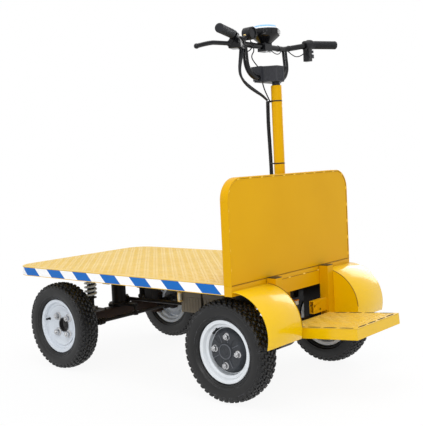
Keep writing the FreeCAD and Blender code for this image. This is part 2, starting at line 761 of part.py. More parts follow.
def steering_shaft():
    """Inner shaft with the neck and head at its top and the pitman arm at its foot."""
    shaft = rod("ShaftBar", "z", "column_x", "0", "pitman_level", "shaft_diameter / 2",
                "head_bottom - pitman_level")
    neck = rod("ShaftNeck", "z", "column_x", "0", "column_top + 1", "neck_diameter / 2",
               "head_bottom - column_top - 1")
    head = rod("ShaftHead", "z", "column_x", "0", "head_bottom", "head_diameter / 2", "head_top - head_bottom")
    hub = rod("PitmanHub", "z", "column_x", "0", "pitman_level", "shaft_diameter / 2 + 6", "plate_sheet + 12")
    arm = block("PitmanArm", "column_x - 11", "-crank_radius", "pitman_level", "22", "crank_radius", "plate_sheet")
    eye = rod("PitmanEye", "z", "column_x", "-crank_radius", "pitman_level", "eye_diameter / 2", "plate_sheet")
    pin = rod("PitmanPin", "z", "column_x", "-crank_radius", "pitman_level - eye_height - stack_gap",
              "pin_diameter / 2", "eye_height + stack_gap + plate_sheet + 6")
    stem = block("StemBar", "column_x", "-stem_width / 2", "riser_level - stem_height / 2", "riser_x - column_x",
                 "stem_width", "stem_height")
    saddle = rod("StemSaddle", "y", "riser_x", "-stem_width", "riser_level", "bar_diameter / 2 + bearing_gap",
                 "2 * stem_width")
    solid = fuse("ShaftSolid", shaft, neck, head, hub, arm, eye, pin, stem)
    node("steering_shaft", cut("SteeringShaft", solid, saddle))


# --- linkage -------------------------------------------------------------------------------

def bellcrank():
    """A plate that turns round the centre post: two ears for the drag link, an arm to the tie rod."""
    low = "crank_level"
    centre = rod("CrankPlate", "z", "kingpin_x", "0", low, "crank_radius - 2", "plate_sheet")
    parts = [centre]
    for side, sign in (("Left", ""), ("Right", "-")):
        parts.append(rod("CrankEar" + side, "z", "kingpin_x", f"{sign}crank_radius", low, "eye_diameter / 2 + 2",
                         "plate_sheet"))
    parts.append(block("CrankArm", "kingpin_x - steer_arm", "-12", low, "steer_arm", "24", "plate_sheet"))
    parts.append(rod("CrankTip", "z", "kingpin_x - steer_arm", "0", low, "eye_diameter / 2", "plate_sheet"))
    bores = [rod("CrankBore", "z", "kingpin_x", "0", f"{low} - 1", "centre_post_diameter / 2 + 0.5",
                 "plate_sheet + 2")]
    plate = cut("CrankBored", fuse("CrankSolid", *parts), *bores)
    link_pin = rod("CrankLinkPin", "z", "kingpin_x", "-crank_radius", low, "pin_diameter / 2",
                   "plate_sheet + eye_height + stack_gap + 4")
    rod_pin = rod("CrankRodPin", "z", "kingpin_x - steer_arm", "0", "arm_level + plate_sheet + stack_gap",
                  "pin_diameter / 2", f"{low} - arm_level - stack_gap")
    node("bellcrank", fuse("Bellcrank", plate, link_pin, rod_pin))


def eye(name, x, y, z, clearance):
    """A rod eye on a vertical pin."""
    return (rod(name, "z", x, y, f"{z} - eye_height / 2", "eye_diameter / 2", "eye_height"),
            rod(name + "Bore", "z", x, y, f"{z} - eye_height", f"pin_diameter / 2 + {clearance}",
                "2 * eye_height"))


def drag_link():
    """From the pitman arm to the bellcrank, sloping down a little towards the front."""
    rear_z = "pitman_level - stack_gap - eye_height / 2"
    front_z = "crank_level + plate_sheet + stack_gap + eye_height / 2"
    ends = [point("column_x + 8", "-crank_radius", rear_z), point("kingpin_x - 8", "-crank_radius", front_z)]
    run = ends[1] - ends[0]
    bar = shaped("DragBar", Part.makeCylinder(number("link_diameter / 2"), run.Length, ends[0], run))
    rear, rear_bore = eye("DragEyeRear", "column_x", "-crank_radius", rear_z, "pin_clearance / 2")
    front, front_bore = eye("DragEyeFront", "kingpin_x", "-crank_radius", front_z, "pin_clearance")
    node("drag_link", cut("DragLink", fuse("DragSolid", bar, rear, front), rear_bore, front_bore))


def tie_rod():
    """Joins the two knuckle arms and the bellcrank's arm."""
    x = "kingpin_x - steer_arm"
    z = "arm_level + plate_sheet + stack_gap + eye_height / 2"
    bar = rod("TieBar", "y", x, "-kingpin_y", z, "link_diameter / 2", "kingpin_spacing")
    left, left_bore = eye("TieEyeLeft", x, "kingpin_y", z, "pin_clearance / 2")
    middle, middle_bore = eye("TieEyeMiddle", x, "0", z, "pin_clearance")
    right, right_bore = eye("TieEyeRight", x, "-kingpin_y", z, "pin_clearance")
    node("tie_rod", cut("TieRod", fuse("TieSolid", bar, left, middle, right), left_bore, middle_bore, right_bore))


def knuckle(side, sign):
    """Barrel on the kingpin, trailing spindle for the wheel, and the steering arm."""
    minus = "" if sign > 0 else "-"
    y = f"{minus}kingpin_y"
    height = "lug_top - lug_bottom - 2 * lug_sheet - 2 * stack_gap"
    barrel = rod("Barrel" + side, "z", "kingpin_x", y, "lug_bottom + lug_sheet + stack_gap", "barrel_diameter / 2",
                 height)
    reach = "front_track / 2 + front_disc_offset + disc_sheet - front_hub_recess - 2 - kingpin_y"
    spindle_start = "kingpin_y" if sign > 0 else f"-kingpin_y - ({reach})"
    spindle = rod("Spindle" + side, "y", "front_x", spindle_start, "tyre_radius", "spindle_diameter / 2", reach)
    boss_start = "kingpin_y" if sign > 0 else "-kingpin_y - 27"
    boss = rod("SpindleBoss" + side, "y", "front_x", boss_start, "tyre_radius", "19", "27")
    arm = block("KnuckleArm" + side, "kingpin_x - steer_arm", f"{y} - 12", "arm_level", "steer_arm", "24",
                "plate_sheet")
    tip = rod("KnuckleTip" + side, "z", "kingpin_x - steer_arm", y, "arm_level", "12", "plate_sheet")
    bore = rod("KingpinBore" + side, "z", "kingpin_x", y, "lug_bottom", "kingpin_diameter / 2 + bearing_gap",
               "lug_top - lug_bottom")
    pin = rod("ArmPin" + side, "z", "kingpin_x - steer_arm", y, "arm_level", "pin_diameter / 2",
              "plate_sheet + stack_gap + eye_height + 6")
    solid = cut("KnuckleBored" + side, fuse("KnuckleSolid" + side, barrel, spindle, boss, arm, tip), bore)
    node("knuckle_" + side.lower(), fuse("Knuckle" + side, solid, pin))


# --- axles ---------------------------------------------------------------------------------

def rear_axle():
    """Axle tube with the gear case, brake backing plates and spindles."""
    end = "rear_track / 2 - 42"
    parts = [rod("AxleTube", "y", "rear_x", f"-({end})", "tyre_radius", "axle_diameter / 2", f"2 * ({end})"),
             rod("GearCase", "y", "rear_x", "gear_side - gear_width / 2", "tyre_radius", "gear_radius",
                 "gear_width"),
             block("GearNeck", "rear_x", "gear_side - 25", "tyre_radius - 40", "motor_ahead", "50", "74")]
    for side, sign in (("Left", 1), ("Right", -1)):
        spindle_y = end if sign > 0 else "-rear_track / 2 - 14"
        plate_y = end if sign > 0 else f"-({end}) - 3"
        parts.append(rod("AxleSpindle" + side, "y", "rear_x", spindle_y, "tyre_radius", "spindle_diameter / 2",
                         "56"))
        parts.append(rod("BackingPlate" + side, "y", "rear_x", plate_y, "tyre_radius", "78", "3"))
    case_left = "gear_side + gear_width / 2"
    case_right = "gear_side - gear_width / 2"
    bores = [rod("AxleBoreLeft", "y", "rear_x", case_left, "tyre_radius", "axle_diameter / 2 - 5",
                 f"{end} - ({case_left})"),
             rod("AxleBoreRight", "y", "rear_x", f"-({end})", "tyre_radius", "axle_diameter / 2 - 5",
                 f"{end} + {case_right}")]
    node("rear_axle", cut("RearAxle", fuse("AxleSolid", *parts), *bores))


def drive_motor():
    start = "gear_side + gear_width / 2"
    shell = rod("MotorShell", "y", "motor_x", start, "tyre_radius - 3", "motor_radius", "motor_length")
    cap = rod("MotorCap", "y", "motor_x", f"{start} + motor_length", "tyre_radius - 3", "motor_radius - 14", "12")
    neck = block("MotorNeck", "motor_x - 24", "gear_side + 25", "tyre_radius - 30", "48",
                 "gear_width / 2 - 25", "54")
    node("drive_motor", fuse("DriveMotor", shell, cap, neck))


def front_axle_beam():
    """Box beam with a yoke and kingpin at each end and a spring seat on each half."""
    outers, inners = [], []
    outers.append(block("BeamOuter", "kingpin_x - beam_size / 2", "-beam_half", "beam_bottom", "beam_size",
                        "2 * beam_half", "beam_size"))
    inners.append(block("BeamBore", "kingpin_x - beam_size / 2 + 3", "-beam_half + 3", "beam_bottom + 3",
                        "beam_size - 6", "2 * beam_half - 6", "beam_size - 6"))
    extras = []
    for side, sign in (("Left", 1), ("Right", -1)):
        minus = "" if sign > 0 else "-"
        back = "beam_half" if sign > 0 else "-beam_half - 8"
        extras.append(block("YokeBack" + side, "kingpin_x - 20", back, "lug_bottom", "40", "8",
                            "lug_top - lug_bottom"))
        seat = "shock_y - 62" if sign > 0 else "-shock_y - 56"
        extras.append(block("SpringSeat" + side, "kingpin_x - 48", seat, "beam_top", "92", "118", "seat_sheet"))
        for end, z in (("Low", "lug_bottom"), ("High", "lug_top - lug_sheet")):
            extras.append(rod("Lug" + side + end, "z", "kingpin_x", f"{minus}kingpin_y", z, "20", "lug_sheet"))
            web = "beam_half" if sign > 0 else "-kingpin_y"
            extras.append(block("LugWeb" + side + end, "kingpin_x - 20", web, z, "40", "kingpin_y - beam_half",
                                "lug_sheet"))
        extras.append(rod("Kingpin" + side, "z", "kingpin_x", f"{minus}kingpin_y", "lug_bottom - 4",
                          "kingpin_diameter / 2", "lug_top - lug_bottom + 8"))
    hollow = cut("BeamTube", outers[0], inners[0])
    node("front_axle_beam", fuse("FrontAxleBeam", hollow, *extras))


def centre_post():
    """The tube that joins the front cross member to the middle of the axle beam."""
    post = tube("PostTube", "z", "kingpin_x", "0", "beam_top", "centre_post_diameter / 2",
                "centre_post_diameter / 2 - centre_post_wall", "frame_bottom - beam_top")
    gusset = tube("PostCollar", "z", "kingpin_x", "0", "frame_bottom - 14", "centre_post_diameter / 2 + 12",
                  "centre_post_diameter / 2", "14")
    node("centre_post", fuse("CentrePost", post, gusset))


def front_suspension():
    """Dampers with their springs, and a black upright that ends in a rubber stop over the right seat."""
    dampers, springs = [], []
    spring_low = "seat_top + 62"
    spring_height = "frame_bottom - 12 - (seat_top + 62)"
    for side, sign in (("Left", 1), ("Right", -1)):
        minus = "" if sign > 0 else "-"
        y = f"{minus}shock_y"
        dampers.append(fuse("Damper" + side,
                            rod("DamperFoot" + side, "x", "shock_x - 12", y, "seat_top + 12", "12", "24"),
                            rod("DamperTube" + side, "z", "shock_x", y, "seat_top + 12", "14", "64"),
                            rod("DamperCup" + side, "z", "shock_x", y, f"{spring_low} - 5", "26", "5"),
                            rod("DamperRod" + side, "z", "shock_x", y, "seat_top + 70", "7",
                                "frame_bottom - seat_top - 70"),
                            rod("DamperHead" + side, "z", "shock_x", y, "frame_bottom - 12", "26", "12")))
        owner = body("Spring" + side)
        face = sketch(owner, "SpringSection" + side, "XZ_Plane")
        pitch = f"({spring_height}) / spring_turns"
        inner = "spring_diameter / 2 - spring_wire"
        corners = [(inner, "0"), ("spring_diameter / 2 - 2", "0")]
        for turn in range(int(SIZES["spring_turns"])):
            corners.append(("spring_diameter / 2", f"{pitch} * {turn + 0.5}"))
            corners.append(("spring_diameter / 2 - 4", f"{pitch} * {turn + 1}"))
        corners.append((inner, spring_height))
        outline(face, corners)
        revolve(owner, "SpringTurn" + side, face)
        place(owner, "shock_x", y, spring_low)
        springs.append(owner)
    behind = "shock_x - upright_gap - upright_size"
    low = "-(shock_y + 8) - upright_size / 2"
    upright = square_tube("UprightTube", "z", behind, low, "seat_top + stop_height", "upright_size", "upright_size",
                          "frame_top - seat_top - stop_height", "tube_wall")
    stop = block("UprightStop", behind, low, "seat_top", "upright_size", "upright_size", "stop_height")
    node("front_shocks", group("FrontShocks", *dampers))
    node("shock_springs", group("ShockSprings", *springs))
    node("shock_upright", fuse("ShockUpright", upright, stop))


# --- wheels --------------------------------------------------------------------------------

def wheel(corner, x, track, sign, rear):
    """Tyre, rim and hub, turned about the wheel's own axis; the sketch's height is the axial way out."""
    heading = FreeCAD.Rotation(FreeCAD.Vector(1, 0, 0), -90 if sign > 0 else 90)
    y = f"{track} / 2" if sign > 0 else f"-{track} / 2"

    def turned(label, corners):
        owner = body(label.title().replace("_", ""))
        face = sketch(owner, owner.Name + "Section", "XZ_Plane")
        outline(face, corners)
        revolve(owner, owner.Name + "Turn", face)
        owner.Placement = FreeCAD.Placement(FreeCAD.Vector(), heading)
        place(owner, x, y, "tyre_radius")
        node(label, owner)

    half = "tyre_width / 2"
    rim_half = "rim_width / 2"
    shoulder = "tyre_radius - tyre_crown"
    crown = f"(pow({half} - 5.5; 2) + pow(tyre_crown; 2)) / (2 * tyre_crown)"
    belly = "(flange_radius + tyre_radius) / 2 - 4"
    bead = "bead_radius + bearing_gap"
    bead_side = f"{rim_half} - rim_sheet - bearing_gap"
    turned("tyre_" + corner, [
        (bead, f"{bead_side} - 13"), (bead, bead_side), (f"flange_radius + 1.5", bead_side),
        (f"flange_radius + 4", f"{rim_half} + 4", "-70"),
        (belly, half, "-60"), (shoulder, f"{half} - 5.5", f"-{crown}"),
        (shoulder, f"-({half} - 5.5)", "-60"), (belly, f"-({half})", "-70"),
        (f"flange_radius + 4", f"-({rim_half} + 4)"), (f"flange_radius + 1.5", f"-({bead_side})"),
        (bead, f"-({bead_side})"), (bead, f"-({bead_side} - 13)"),
        (f"flange_radius", f"-({bead_side} - 11)"), (belly, f"-({half} - tyre_wall)"),
        (f"{shoulder} - tyre_wall", f"-({half} - 16)"), (f"{shoulder} - tyre_wall", f"{half} - 16"),
        (belly, f"{half} - tyre_wall"), (f"flange_radius", f"{bead_side} - 11")])
    wall = "rim_sheet"
    disc_in = "well_radius - rim_sheet"
    offset = "rear_disc_offset" if rear else "front_disc_offset"
    hole = "27" if rear else "31"
    if rear:
        disc = [(disc_in, f"{offset} + disc_sheet"), ("70", f"{offset} + disc_rise + disc_sheet"),
                (hole, f"{offset} + disc_rise + disc_sheet"), (hole, f"{offset} + disc_rise"),
                ("68", f"{offset} + disc_rise"), (disc_in, offset)]
    else:
        disc = [("74", "9"), ("64", f"{offset} + disc_rise + disc_sheet"),
                (hole, f"{offset} + disc_rise + disc_sheet"), (hole, f"{offset} + disc_rise"),
                ("62", f"{offset} + disc_rise"), ("72", "4"), (disc_in, f"{rim_half} - 21")]
    turned("rim_" + corner, [
        ("flange_radius", f"-({rim_half})"), ("flange_radius", f"-({rim_half} - {wall})"),
        ("bead_radius", f"-({rim_half} - {wall})"), ("bead_radius - 2", f"-({rim_half} - 15)"),
        ("well_radius", f"-({rim_half} - 18)"), ("well_radius", f"{rim_half} - 18"),
        ("bead_radius - 2", f"{rim_half} - 15"), ("bead_radius", f"{rim_half} - {wall}"),
        ("flange_radius", f"{rim_half} - {wall}"), ("flange_radius", rim_half),
        (f"bead_radius - {wall}", rim_half), (f"bead_radius - 2 - {wall}", f"{rim_half} - 12"),
        (disc_in, f"{rim_half} - 15"), *disc, (disc_in, f"-({rim_half} - 15)"),
        (f"bead_radius - 2 - {wall}", f"-({rim_half} - 12)"), (f"bead_radius - {wall}", f"-({rim_half})")])
    face_in = f"{offset} + disc_rise - 0.2"
    face_out = f"{offset} + disc_rise + disc_sheet + 0.2"
    bore = "spindle_diameter / 2 + bearing_gap"
    if rear:
        turned("hub_" + corner, [
            (bore, "-34"), ("72", "-34"), ("76", "-30"), ("76", "-2"), ("60", face_in), ("26.5", face_in),
            ("26.5", face_out), ("79", face_out), ("79", f"{face_out} + 3"), ("74", f"{face_out} + 6"),
            ("30", f"{face_out} + 6"), ("28", f"{face_out} + 12"), ("0", f"{face_out} + 12"),
            ("0", f"{face_out} + 4"), (bore, f"{face_out} + 4")])
    else:
        turned("hub_" + corner, [
            (bore, "-46"), ("24", "-46"), ("26", f"{face_in} - 14"), ("50", f"{face_in} - 10"), ("50", face_in),
            ("30.5", face_in), ("30.5", f"{face_out} + 1"), ("26", f"{face_out} + 1"),
            ("24", f"{face_out} - front_hub_recess"), ("0", f"{face_out} - front_hub_recess"),
            ("0", f"{face_out} - front_hub_recess - 4"), (bore, f"{face_out} - front_hub_recess - 4")])


# --- handlebar -----------------------------------------------------------------------------

def hand_points(sign):
    """From the middle of the top bar to the hand end on one side."""
    return [point("bar_x", f"{sign} * riser_half", "bar_level"), point("sweep_x", f"{sign} * sweep_half",
            "sweep_level"), point("hand_x", f"{sign} * hand_y", "hand_level")]


def handlebar():
    """A swept top bar with a U-shaped riser below it, both of round tube."""
    radius = number("bar_diameter / 2")
    bend = number("riser_bend")
    left, right = hand_points(1), hand_points(-1)
    top = swept(bent_path(left[::-1] + right, [bend, bend, bend, bend]), radius)
    low_left = point("riser_x", "riser_half", "riser_level")
    low_right = point("riser_x", "-riser_half", "riser_level")
    riser = swept(bent_path([left[0], low_left, low_right, right[0]], [bend, bend]), radius)
    node("handlebar", shaped("Handlebar", top.fuse(riser).removeSplitter()))


def handlebar_clamp():
    """The cap that holds the riser in the stem's saddle."""
    outer = block("ClampBlock", "riser_x", "-stem_width / 2", "riser_level - stem_height / 2",
                  "bar_diameter / 2 + 4", "stem_width", "stem_height")
    bore = rod("ClampBarBore", "y", "riser_x", "-stem_width", "riser_level", "bar_diameter / 2 + bearing_gap",
               "2 * stem_width")
    node("handlebar_clamp", cut("HandlebarClamp", outer, bore))


def handlebar_grips():
    """Rubber sleeves over the bar's ends, closed by a thick cap."""
    grips = []
    for side, sign in (("Left", 1), ("Right", -1)):
        bar, inner, end = hand_points(sign)
        back = (inner - end).normalize()
        start = end - back * 4
        outer = Part.makeCylinder(number("grip_diameter / 2"), number("grip_length") + 4, start, back)
        bore = Part.makeCylinder(number("bar_diameter / 2 + bearing_gap"), number("grip_length") + 4, end, back)
        grips.append(shaped("Grip" + side, outer.cut(bore)))
    node("handlebar_grips", group("HandlebarGrips", *grips))


def along_bar(sign, reach):
    """A point on the sweeping part of the bar, measured inwards from the bend at the grip."""
    bar, inner, end = hand_points(sign)
    heading = (bar - inner).normalize()
    return inner + heading * reach, heading


def controls():
    """Brake lever and lamp pod on the left, switch block on the right."""
    bar = number("bar_diameter / 2 + bearing_gap")
    spot, heading = along_bar(1, number("lever_reach"))
    pivot = point("column_x + lever_ahead", "sweep_half - lever_reach + 2", "bar_level - 8")
    collar = Part.makeCylinder(bar + 6, 24, spot - heading * 12, heading)
    neck = Part.makeCylinder(10, (pivot - spot).Length, spot, pivot - spot)
    boss = Part.makeCylinder(11, 18, pivot + FreeCAD.Vector(0, 0, -9), FreeCAD.Vector(0, 0, 1))
    tip = point("column_x + lever_ahead + 30", "lever_tip", "bar_level - 26")
    blade = swept(bent_path([pivot, pivot + FreeCAD.Vector(13, 54, 0), pivot + FreeCAD.Vector(14, 99, -3), tip],
                            [80, 80]), 5)
    lever = collar.fuse([neck, boss, blade, Part.makeSphere(7, tip)])
    lever = lever.cut(Part.makeCylinder(bar, 60, spot - heading * 30, heading))
    node("brake_lever", shaped("BrakeLever", lever.removeSplitter()))

    spot, heading = along_bar(-1, number("switch_reach"))
    collar = Part.makeCylinder(bar + 9, 30, spot - heading * 15, heading)
    drop = Part.makeBox(28, 24, 51, spot + FreeCAD.Vector(-14, -12, -65))
    switch = collar.fuse(drop).cut(Part.makeCylinder(bar, 60, spot - heading * 30, heading))
    node("switch_block", shaped("SwitchBlock", switch.removeSplitter()))

    spot, heading = along_bar(1, number("pod_reach"))
    centre = point("bar_x - 19", "riser_half - 8", "bar_level + 38")
    barrel = Part.makeCylinder(24, 34, centre + FreeCAD.Vector(-17, 0, 0), FreeCAD.Vector(1, 0, 0))
    neck = Part.makeCylinder(9, (centre - spot).Length, spot, centre - spot)
    band = Part.makeCylinder(bar + 5, 26, spot - heading * 13, heading)
    gland = Part.makeBox(26, 20, 16, spot + FreeCAD.Vector(-10, -14, -28))
    pod = barrel.fuse([neck, band, gland]).cut(Part.makeCylinder(bar, 60, spot - heading * 30, heading))
    node("control_pod", shaped("ControlPod", pod.removeSplitter()))


def headlamp():
    """Lamp shell in front of the steering head, closed round the handlebar clamp, and its lens."""
    back = "column_x + head_diameter / 2 + bearing_gap"
    top = "lamp_bottom + lamp_height"
    low = "column_x + lamp_low_reach"
    high = "column_x + lamp_high_reach"
    half = "lamp_half"
    wall = "lamp_wall"
    owner = body("HeadlampHousing")
    face = sketch(owner, "LampSide", "XZ_Plane", f"-({half})")
    outline(face, [(back, "lamp_bottom"), (low, "lamp_bottom"), (high, f"{top} - 8"), (f"{high} - 6", top),
                   (back, top)])
    pad(owner, "LampPad", face, f"2 * ({half})")
    room = sketch(owner, "LampRoom", "XZ_Plane", f"-({half}) + {wall}")
    outline(room, [(f"{back} + {wall}", f"lamp_bottom + {wall}"), (f"{low} - {wall}", f"lamp_bottom + {wall}"),
                   (f"{high} - 1.2 * {wall}", f"{top} - 8 - {wall} / 2"), (f"{high} - 6 - {wall} / 2",
                   f"{top} - {wall}"), (f"{back} + {wall}", f"{top} - {wall}")])
    pocket(owner, "LampHollow", room, f"2 * ({half}) - 2 * {wall}", reverse=True)
    slot = sketch(owner, "BarSlot", "XZ_Plane", f"-({half}) - 1")
    ring(slot, "riser_x", "riser_level", "bar_diameter / 2 + stack_gap")
    pocket(owner, "BarPassage", slot, f"2 * ({half}) + 2", reverse=True)
    window = sketch(owner, "StemWindow", "YZ_Plane", f"{back} - 1")
    side = "stem_width / 2 + stack_gap"
    rise = "stem_height / 2 + stack_gap"
    outline(window, [(f"-({side})", f"riser_level - ({rise})"), (side, f"riser_level - ({rise})"),
                     (side, f"riser_level + {rise}"), (f"-({side})", f"riser_level + {rise}")])
    pocket(owner, "StemPassage", window, f"{wall} + 2", reverse=True)
    glass_low = "lamp_bottom + 9"
    glass_high = f"{top} - 14"
    slope = f"(({high}) - ({low})) / (lamp_height - 8)"
    opening = sketch(owner, "LensOpening", "XZ_Plane", "-(lamp_half - 13)")
    outline(opening, [(f"{low} - 2 * {wall}", glass_low), (f"{high} + 3", glass_low), (f"{high} + 3", glass_high),
                      (f"{low} - 2 * {wall} + 12", glass_high)])
    pocket(owner, "LensCut", opening, "2 * (lamp_half - 13)", reverse=True)
    node("headlamp_housing", owner)

    lens = body("HeadlampLens")
    face = sketch(lens, "LensSection", "XZ_Plane", "-(lamp_half - 13 - bearing_gap)")
    rows = []
    for level, sides in ((f"{glass_low} + bearing_gap", (-3, 1)), (f"{glass_high} - bearing_gap", (1, -3))):
        on_slope = f"{low} + ({level} - lamp_bottom) * {slope}"
        rows.extend((f"{on_slope} + {shift}", level) for shift in sides)
    outline(face, rows)
    pad(lens, "LensPad", face, "2 * (lamp_half - 13 - bearing_gap)")
    node("headlamp_lens", lens)


def meter():
    """A round instrument on the top bar, its dial under a domed glass."""
    rise = "meter_rim - meter_bottom"
    owner = body("MeterBody")
    face = sketch(owner, "MeterSection", "XZ_Plane")
    wall = "3"
    outline(face, [("0", "0"), ("20", "0"), ("34", "10"), ("meter_radius - 4", f"{rise} - 16"),
                   ("meter_radius", f"{rise} - 12"), ("meter_radius", rise),
                   ("dial_radius + 0.3", rise), ("dial_radius + 0.3", f"{rise} - 8"), ("0", f"{rise} - 8")])
    revolve(owner, "MeterTurn", face)
    place(owner, "bar_x - 4", "0", "meter_bottom")
    clamp = block("MeterFoot", "bar_x - bar_diameter / 2 - 8", "-22", "bar_level - bar_diameter / 2 - 8",
                  "bar_diameter + 16", "44", "meter_bottom - bar_level + bar_diameter / 2 + 8")
    bore = rod("MeterBore", "y", "bar_x", "-23", "bar_level", "bar_diameter / 2 + bearing_gap", "46")
    node("meter_body", fuse("MeterAssembly", owner, cut("MeterClamp", clamp, bore)))

    dial = body("MeterDial")
    face = sketch(dial, "DialSection", "XZ_Plane")
    radius = "(pow(dial_radius; 2) + pow(dial_height - 2; 2)) / (2 * (dial_height - 2))"
    outline(face, [("0", "-8"), ("dial_radius", "-8"), ("dial_radius", "2", radius), ("0", "dial_height")])
    revolve(dial, "DialTurn", face)
    place(dial, "bar_x - 4", "0", "meter_rim")
    node("meter_dial", dial)


# --- cables --------------------------------------------------------------------------------

def cable(points, diameter):
    """A round cable whose bends are as large as their runs allow."""
    spots = [point(f"column_x + column_radius + {x}", y, z) for x, y, z in points]
    radii = []
    for before, here, after in zip(spots, spots[1:], spots[2:]):
        turn = math.pi - (before - here).getAngle(after - here)
        radii.append(0.45 * min((before - here).Length, (after - here).Length) / math.tan(turn / 2))
    path = bent_path(spots, radii)
    solid = swept(path, diameter / 2)
    area = math.pi * diameter ** 2 / 4
    print(f"cable of {path.Length:.0f} mm, least radius {min(radii):.0f} mm, "
          f"volume off by {abs(solid.Volume / (area * path.Length) - 1):.4f}")
    return solid


def cables():
    """Two control cables and a thin lead from the handlebar, and the harness down the column."""
    thick = SIZES["cable_diameter"]
    upper = cable([(11, 158, 1298.2), (11, 168, 1265), (15, 176, 1230), (19, 170, 1202), (24, 144, 1178),
                   (27, 110, 1160), (24, 72, 1143), (16, 40, 1128), (8, 23, 1111.8)], thick)
    beside = cable([(23, 158, 1298.6), (25, 163, 1258), (29, 163, 1228), (33, 154, 1204), (37, 128, 1184),
                    (38, 94, 1167), (33, 58, 1148), (23, 28, 1130), (15, 13, 1111.7)], thick)
    lead = cable([(26, 24, 1179.4), (23, 22, 1162), (17, 18, 1142), (10, 15, 1124), (4, 13, 1109.8)],
                 SIZES["thin_cable"])
    node("control_cables", group("ControlCables", shaped("CableOuter", upper), shaped("CableInner", beside),
                                 shaped("LampLead", lead)))
    sleeve = cable([(9, 18, 1108), (11, 17, 1070), (13, 15, 1010), (12, 13, 940), (10, 13, 870),
                    (9, 14, 800), (10, 15, 720), (12, 14, 640), (14, 14, 560), (18, 14, 500), (21, 14, 470),
                    (21, 14, 444.5)], SIZES["harness_diameter"])
    node("wiring_harness", shaped("WiringHarness", sleeve))


deck_plate()
deck_skirt()
chassis_frame()
guard_rim()
guard_panel()
rear_posts()
post_caps()
rear_apron()
fender("Left", 1)
fender("Right", -1)
foot_platform()
batteries()
steering_column()
column_clamps()
steering_shaft()
bellcrank()
drag_link()
tie_rod()
knuckle("Left", 1)
knuckle("Right", -1)
rear_axle()
drive_motor()
front_axle_beam()
centre_post()
front_suspension()
for corner, x, track, sign in (("front_left", "front_x", "front_track", 1),
                               ("front_right", "front_x", "front_track", -1),
                               ("rear_left", "rear_x", "rear_track", 1),
                               ("rear_right", "rear_x", "rear_track", -1)):
    wheel(corner, x, track, sign, corner.startswith("rear"))
handlebar()
handlebar_clamp()
handlebar_grips()
controls()
headlamp()
meter()
cables()

doc.recompute()
for thing in doc.Objects:
    if "Invalid" in thing.State or "Error" in thing.State:
        raise RuntimeError(f"{thing.Name} failed: {thing.State}")
os.makedirs("parts", exist_ok=True)
for thing in nodes:
    shape = thing.Shape
    if shape.isNull() or not shape.isValid():
        raise RuntimeError(f"{thing.Label} has a bad shape")
    shape.exportStep(f"parts/{thing.Label}.step")
    print(f"{thing.Label}: {len(shape.Solids)} solid(s), {shape.Volume / 1000:.0f} cm3")
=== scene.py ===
import math
import bpy
from mathutils import Matrix, Vector


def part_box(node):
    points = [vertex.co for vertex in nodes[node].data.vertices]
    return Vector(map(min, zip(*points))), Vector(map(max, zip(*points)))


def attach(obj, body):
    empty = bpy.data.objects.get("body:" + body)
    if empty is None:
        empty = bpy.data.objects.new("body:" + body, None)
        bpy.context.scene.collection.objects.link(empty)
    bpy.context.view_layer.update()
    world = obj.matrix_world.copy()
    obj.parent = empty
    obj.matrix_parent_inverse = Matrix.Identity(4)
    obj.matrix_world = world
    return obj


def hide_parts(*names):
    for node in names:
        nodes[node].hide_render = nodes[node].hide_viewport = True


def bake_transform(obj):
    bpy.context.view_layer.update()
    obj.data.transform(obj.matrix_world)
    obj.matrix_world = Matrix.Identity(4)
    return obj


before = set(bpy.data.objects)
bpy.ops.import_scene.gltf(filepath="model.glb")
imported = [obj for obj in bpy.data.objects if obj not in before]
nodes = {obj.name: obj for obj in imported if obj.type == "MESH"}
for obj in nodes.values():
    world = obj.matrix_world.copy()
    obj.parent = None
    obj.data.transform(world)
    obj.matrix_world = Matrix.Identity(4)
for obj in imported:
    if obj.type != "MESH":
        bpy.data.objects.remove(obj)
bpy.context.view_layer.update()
print("frame loaded:", len(nodes), "nodes")


# ---- shader tools ----

def tone(red, green, blue):
    # a colour chart's 0 to 255 values as linear light
    parts = (red / 255, green / 255, blue / 255)
    return tuple(c / 12.92 if c < 0.04045 else ((c + 0.055) / 1.055) ** 2.4 for c in parts) + (1,)


def put(tree, kind, inputs=None, **settings):
    # one shader node: plain settings first, then its sockets, by value or by link
    unit = tree.nodes.new("ShaderNode" + kind)
    for key, value in settings.items():
        setattr(unit, key, value)
    for key, value in (inputs or {}).items():
        if isinstance(value, bpy.types.NodeSocket):
            tree.links.new(value, unit.inputs[key])
        else:
            unit.inputs[key].default_value = value
    return unit


def maths(tree, operation, first, second=0.5, clamp=False):
    return put(tree, "Math", {0: first, 1: second}, operation=operation, use_clamp=clamp).outputs[0]


def blendColour(tree, share, first, second):
    return put(tree, "Mix", {0: share, 6: first, 7: second}, data_type="RGBA").outputs[2]


def stretch(tree, value, low, high, newLow=0.0, newHigh=1.0):
    return put(tree, "MapRange", {"Value": value, "From Min": low, "From Max": high, "To Min": newLow,
                                  "To Max": newHigh}).outputs[0]


def spaced(values):
    # keyword names turned into socket labels
    return {key.replace("_", " "): value for key, value in values.items()}


def ownSpot(tree):
    # where a shaded point lies in its piece's own axes
    return tree.nodes.new("ShaderNodeTexCoord").outputs["Object"]


def newGroup(name, inputs, outputs):
    tree = bpy.data.node_groups.new(name, "ShaderNodeTree")
    for label, value in inputs.items():
        tree.interface.new_socket(label, in_out="INPUT", socket_type="NodeSocketFloat").default_value = value
    for label, kind in outputs.items():
        tree.interface.new_socket(label, in_out="OUTPUT", socket_type=kind)
    return tree, tree.nodes.new("NodeGroupInput").outputs, tree.nodes.new("NodeGroupOutput").inputs


# ---- mesh tools ----

mergeGap = 0.00002
ways = {"y": (Vector((0, 1, 0)), Vector((0, 0, 1))), "z": (Vector((0, 0, 1)), Vector((1, 0, 0)))}


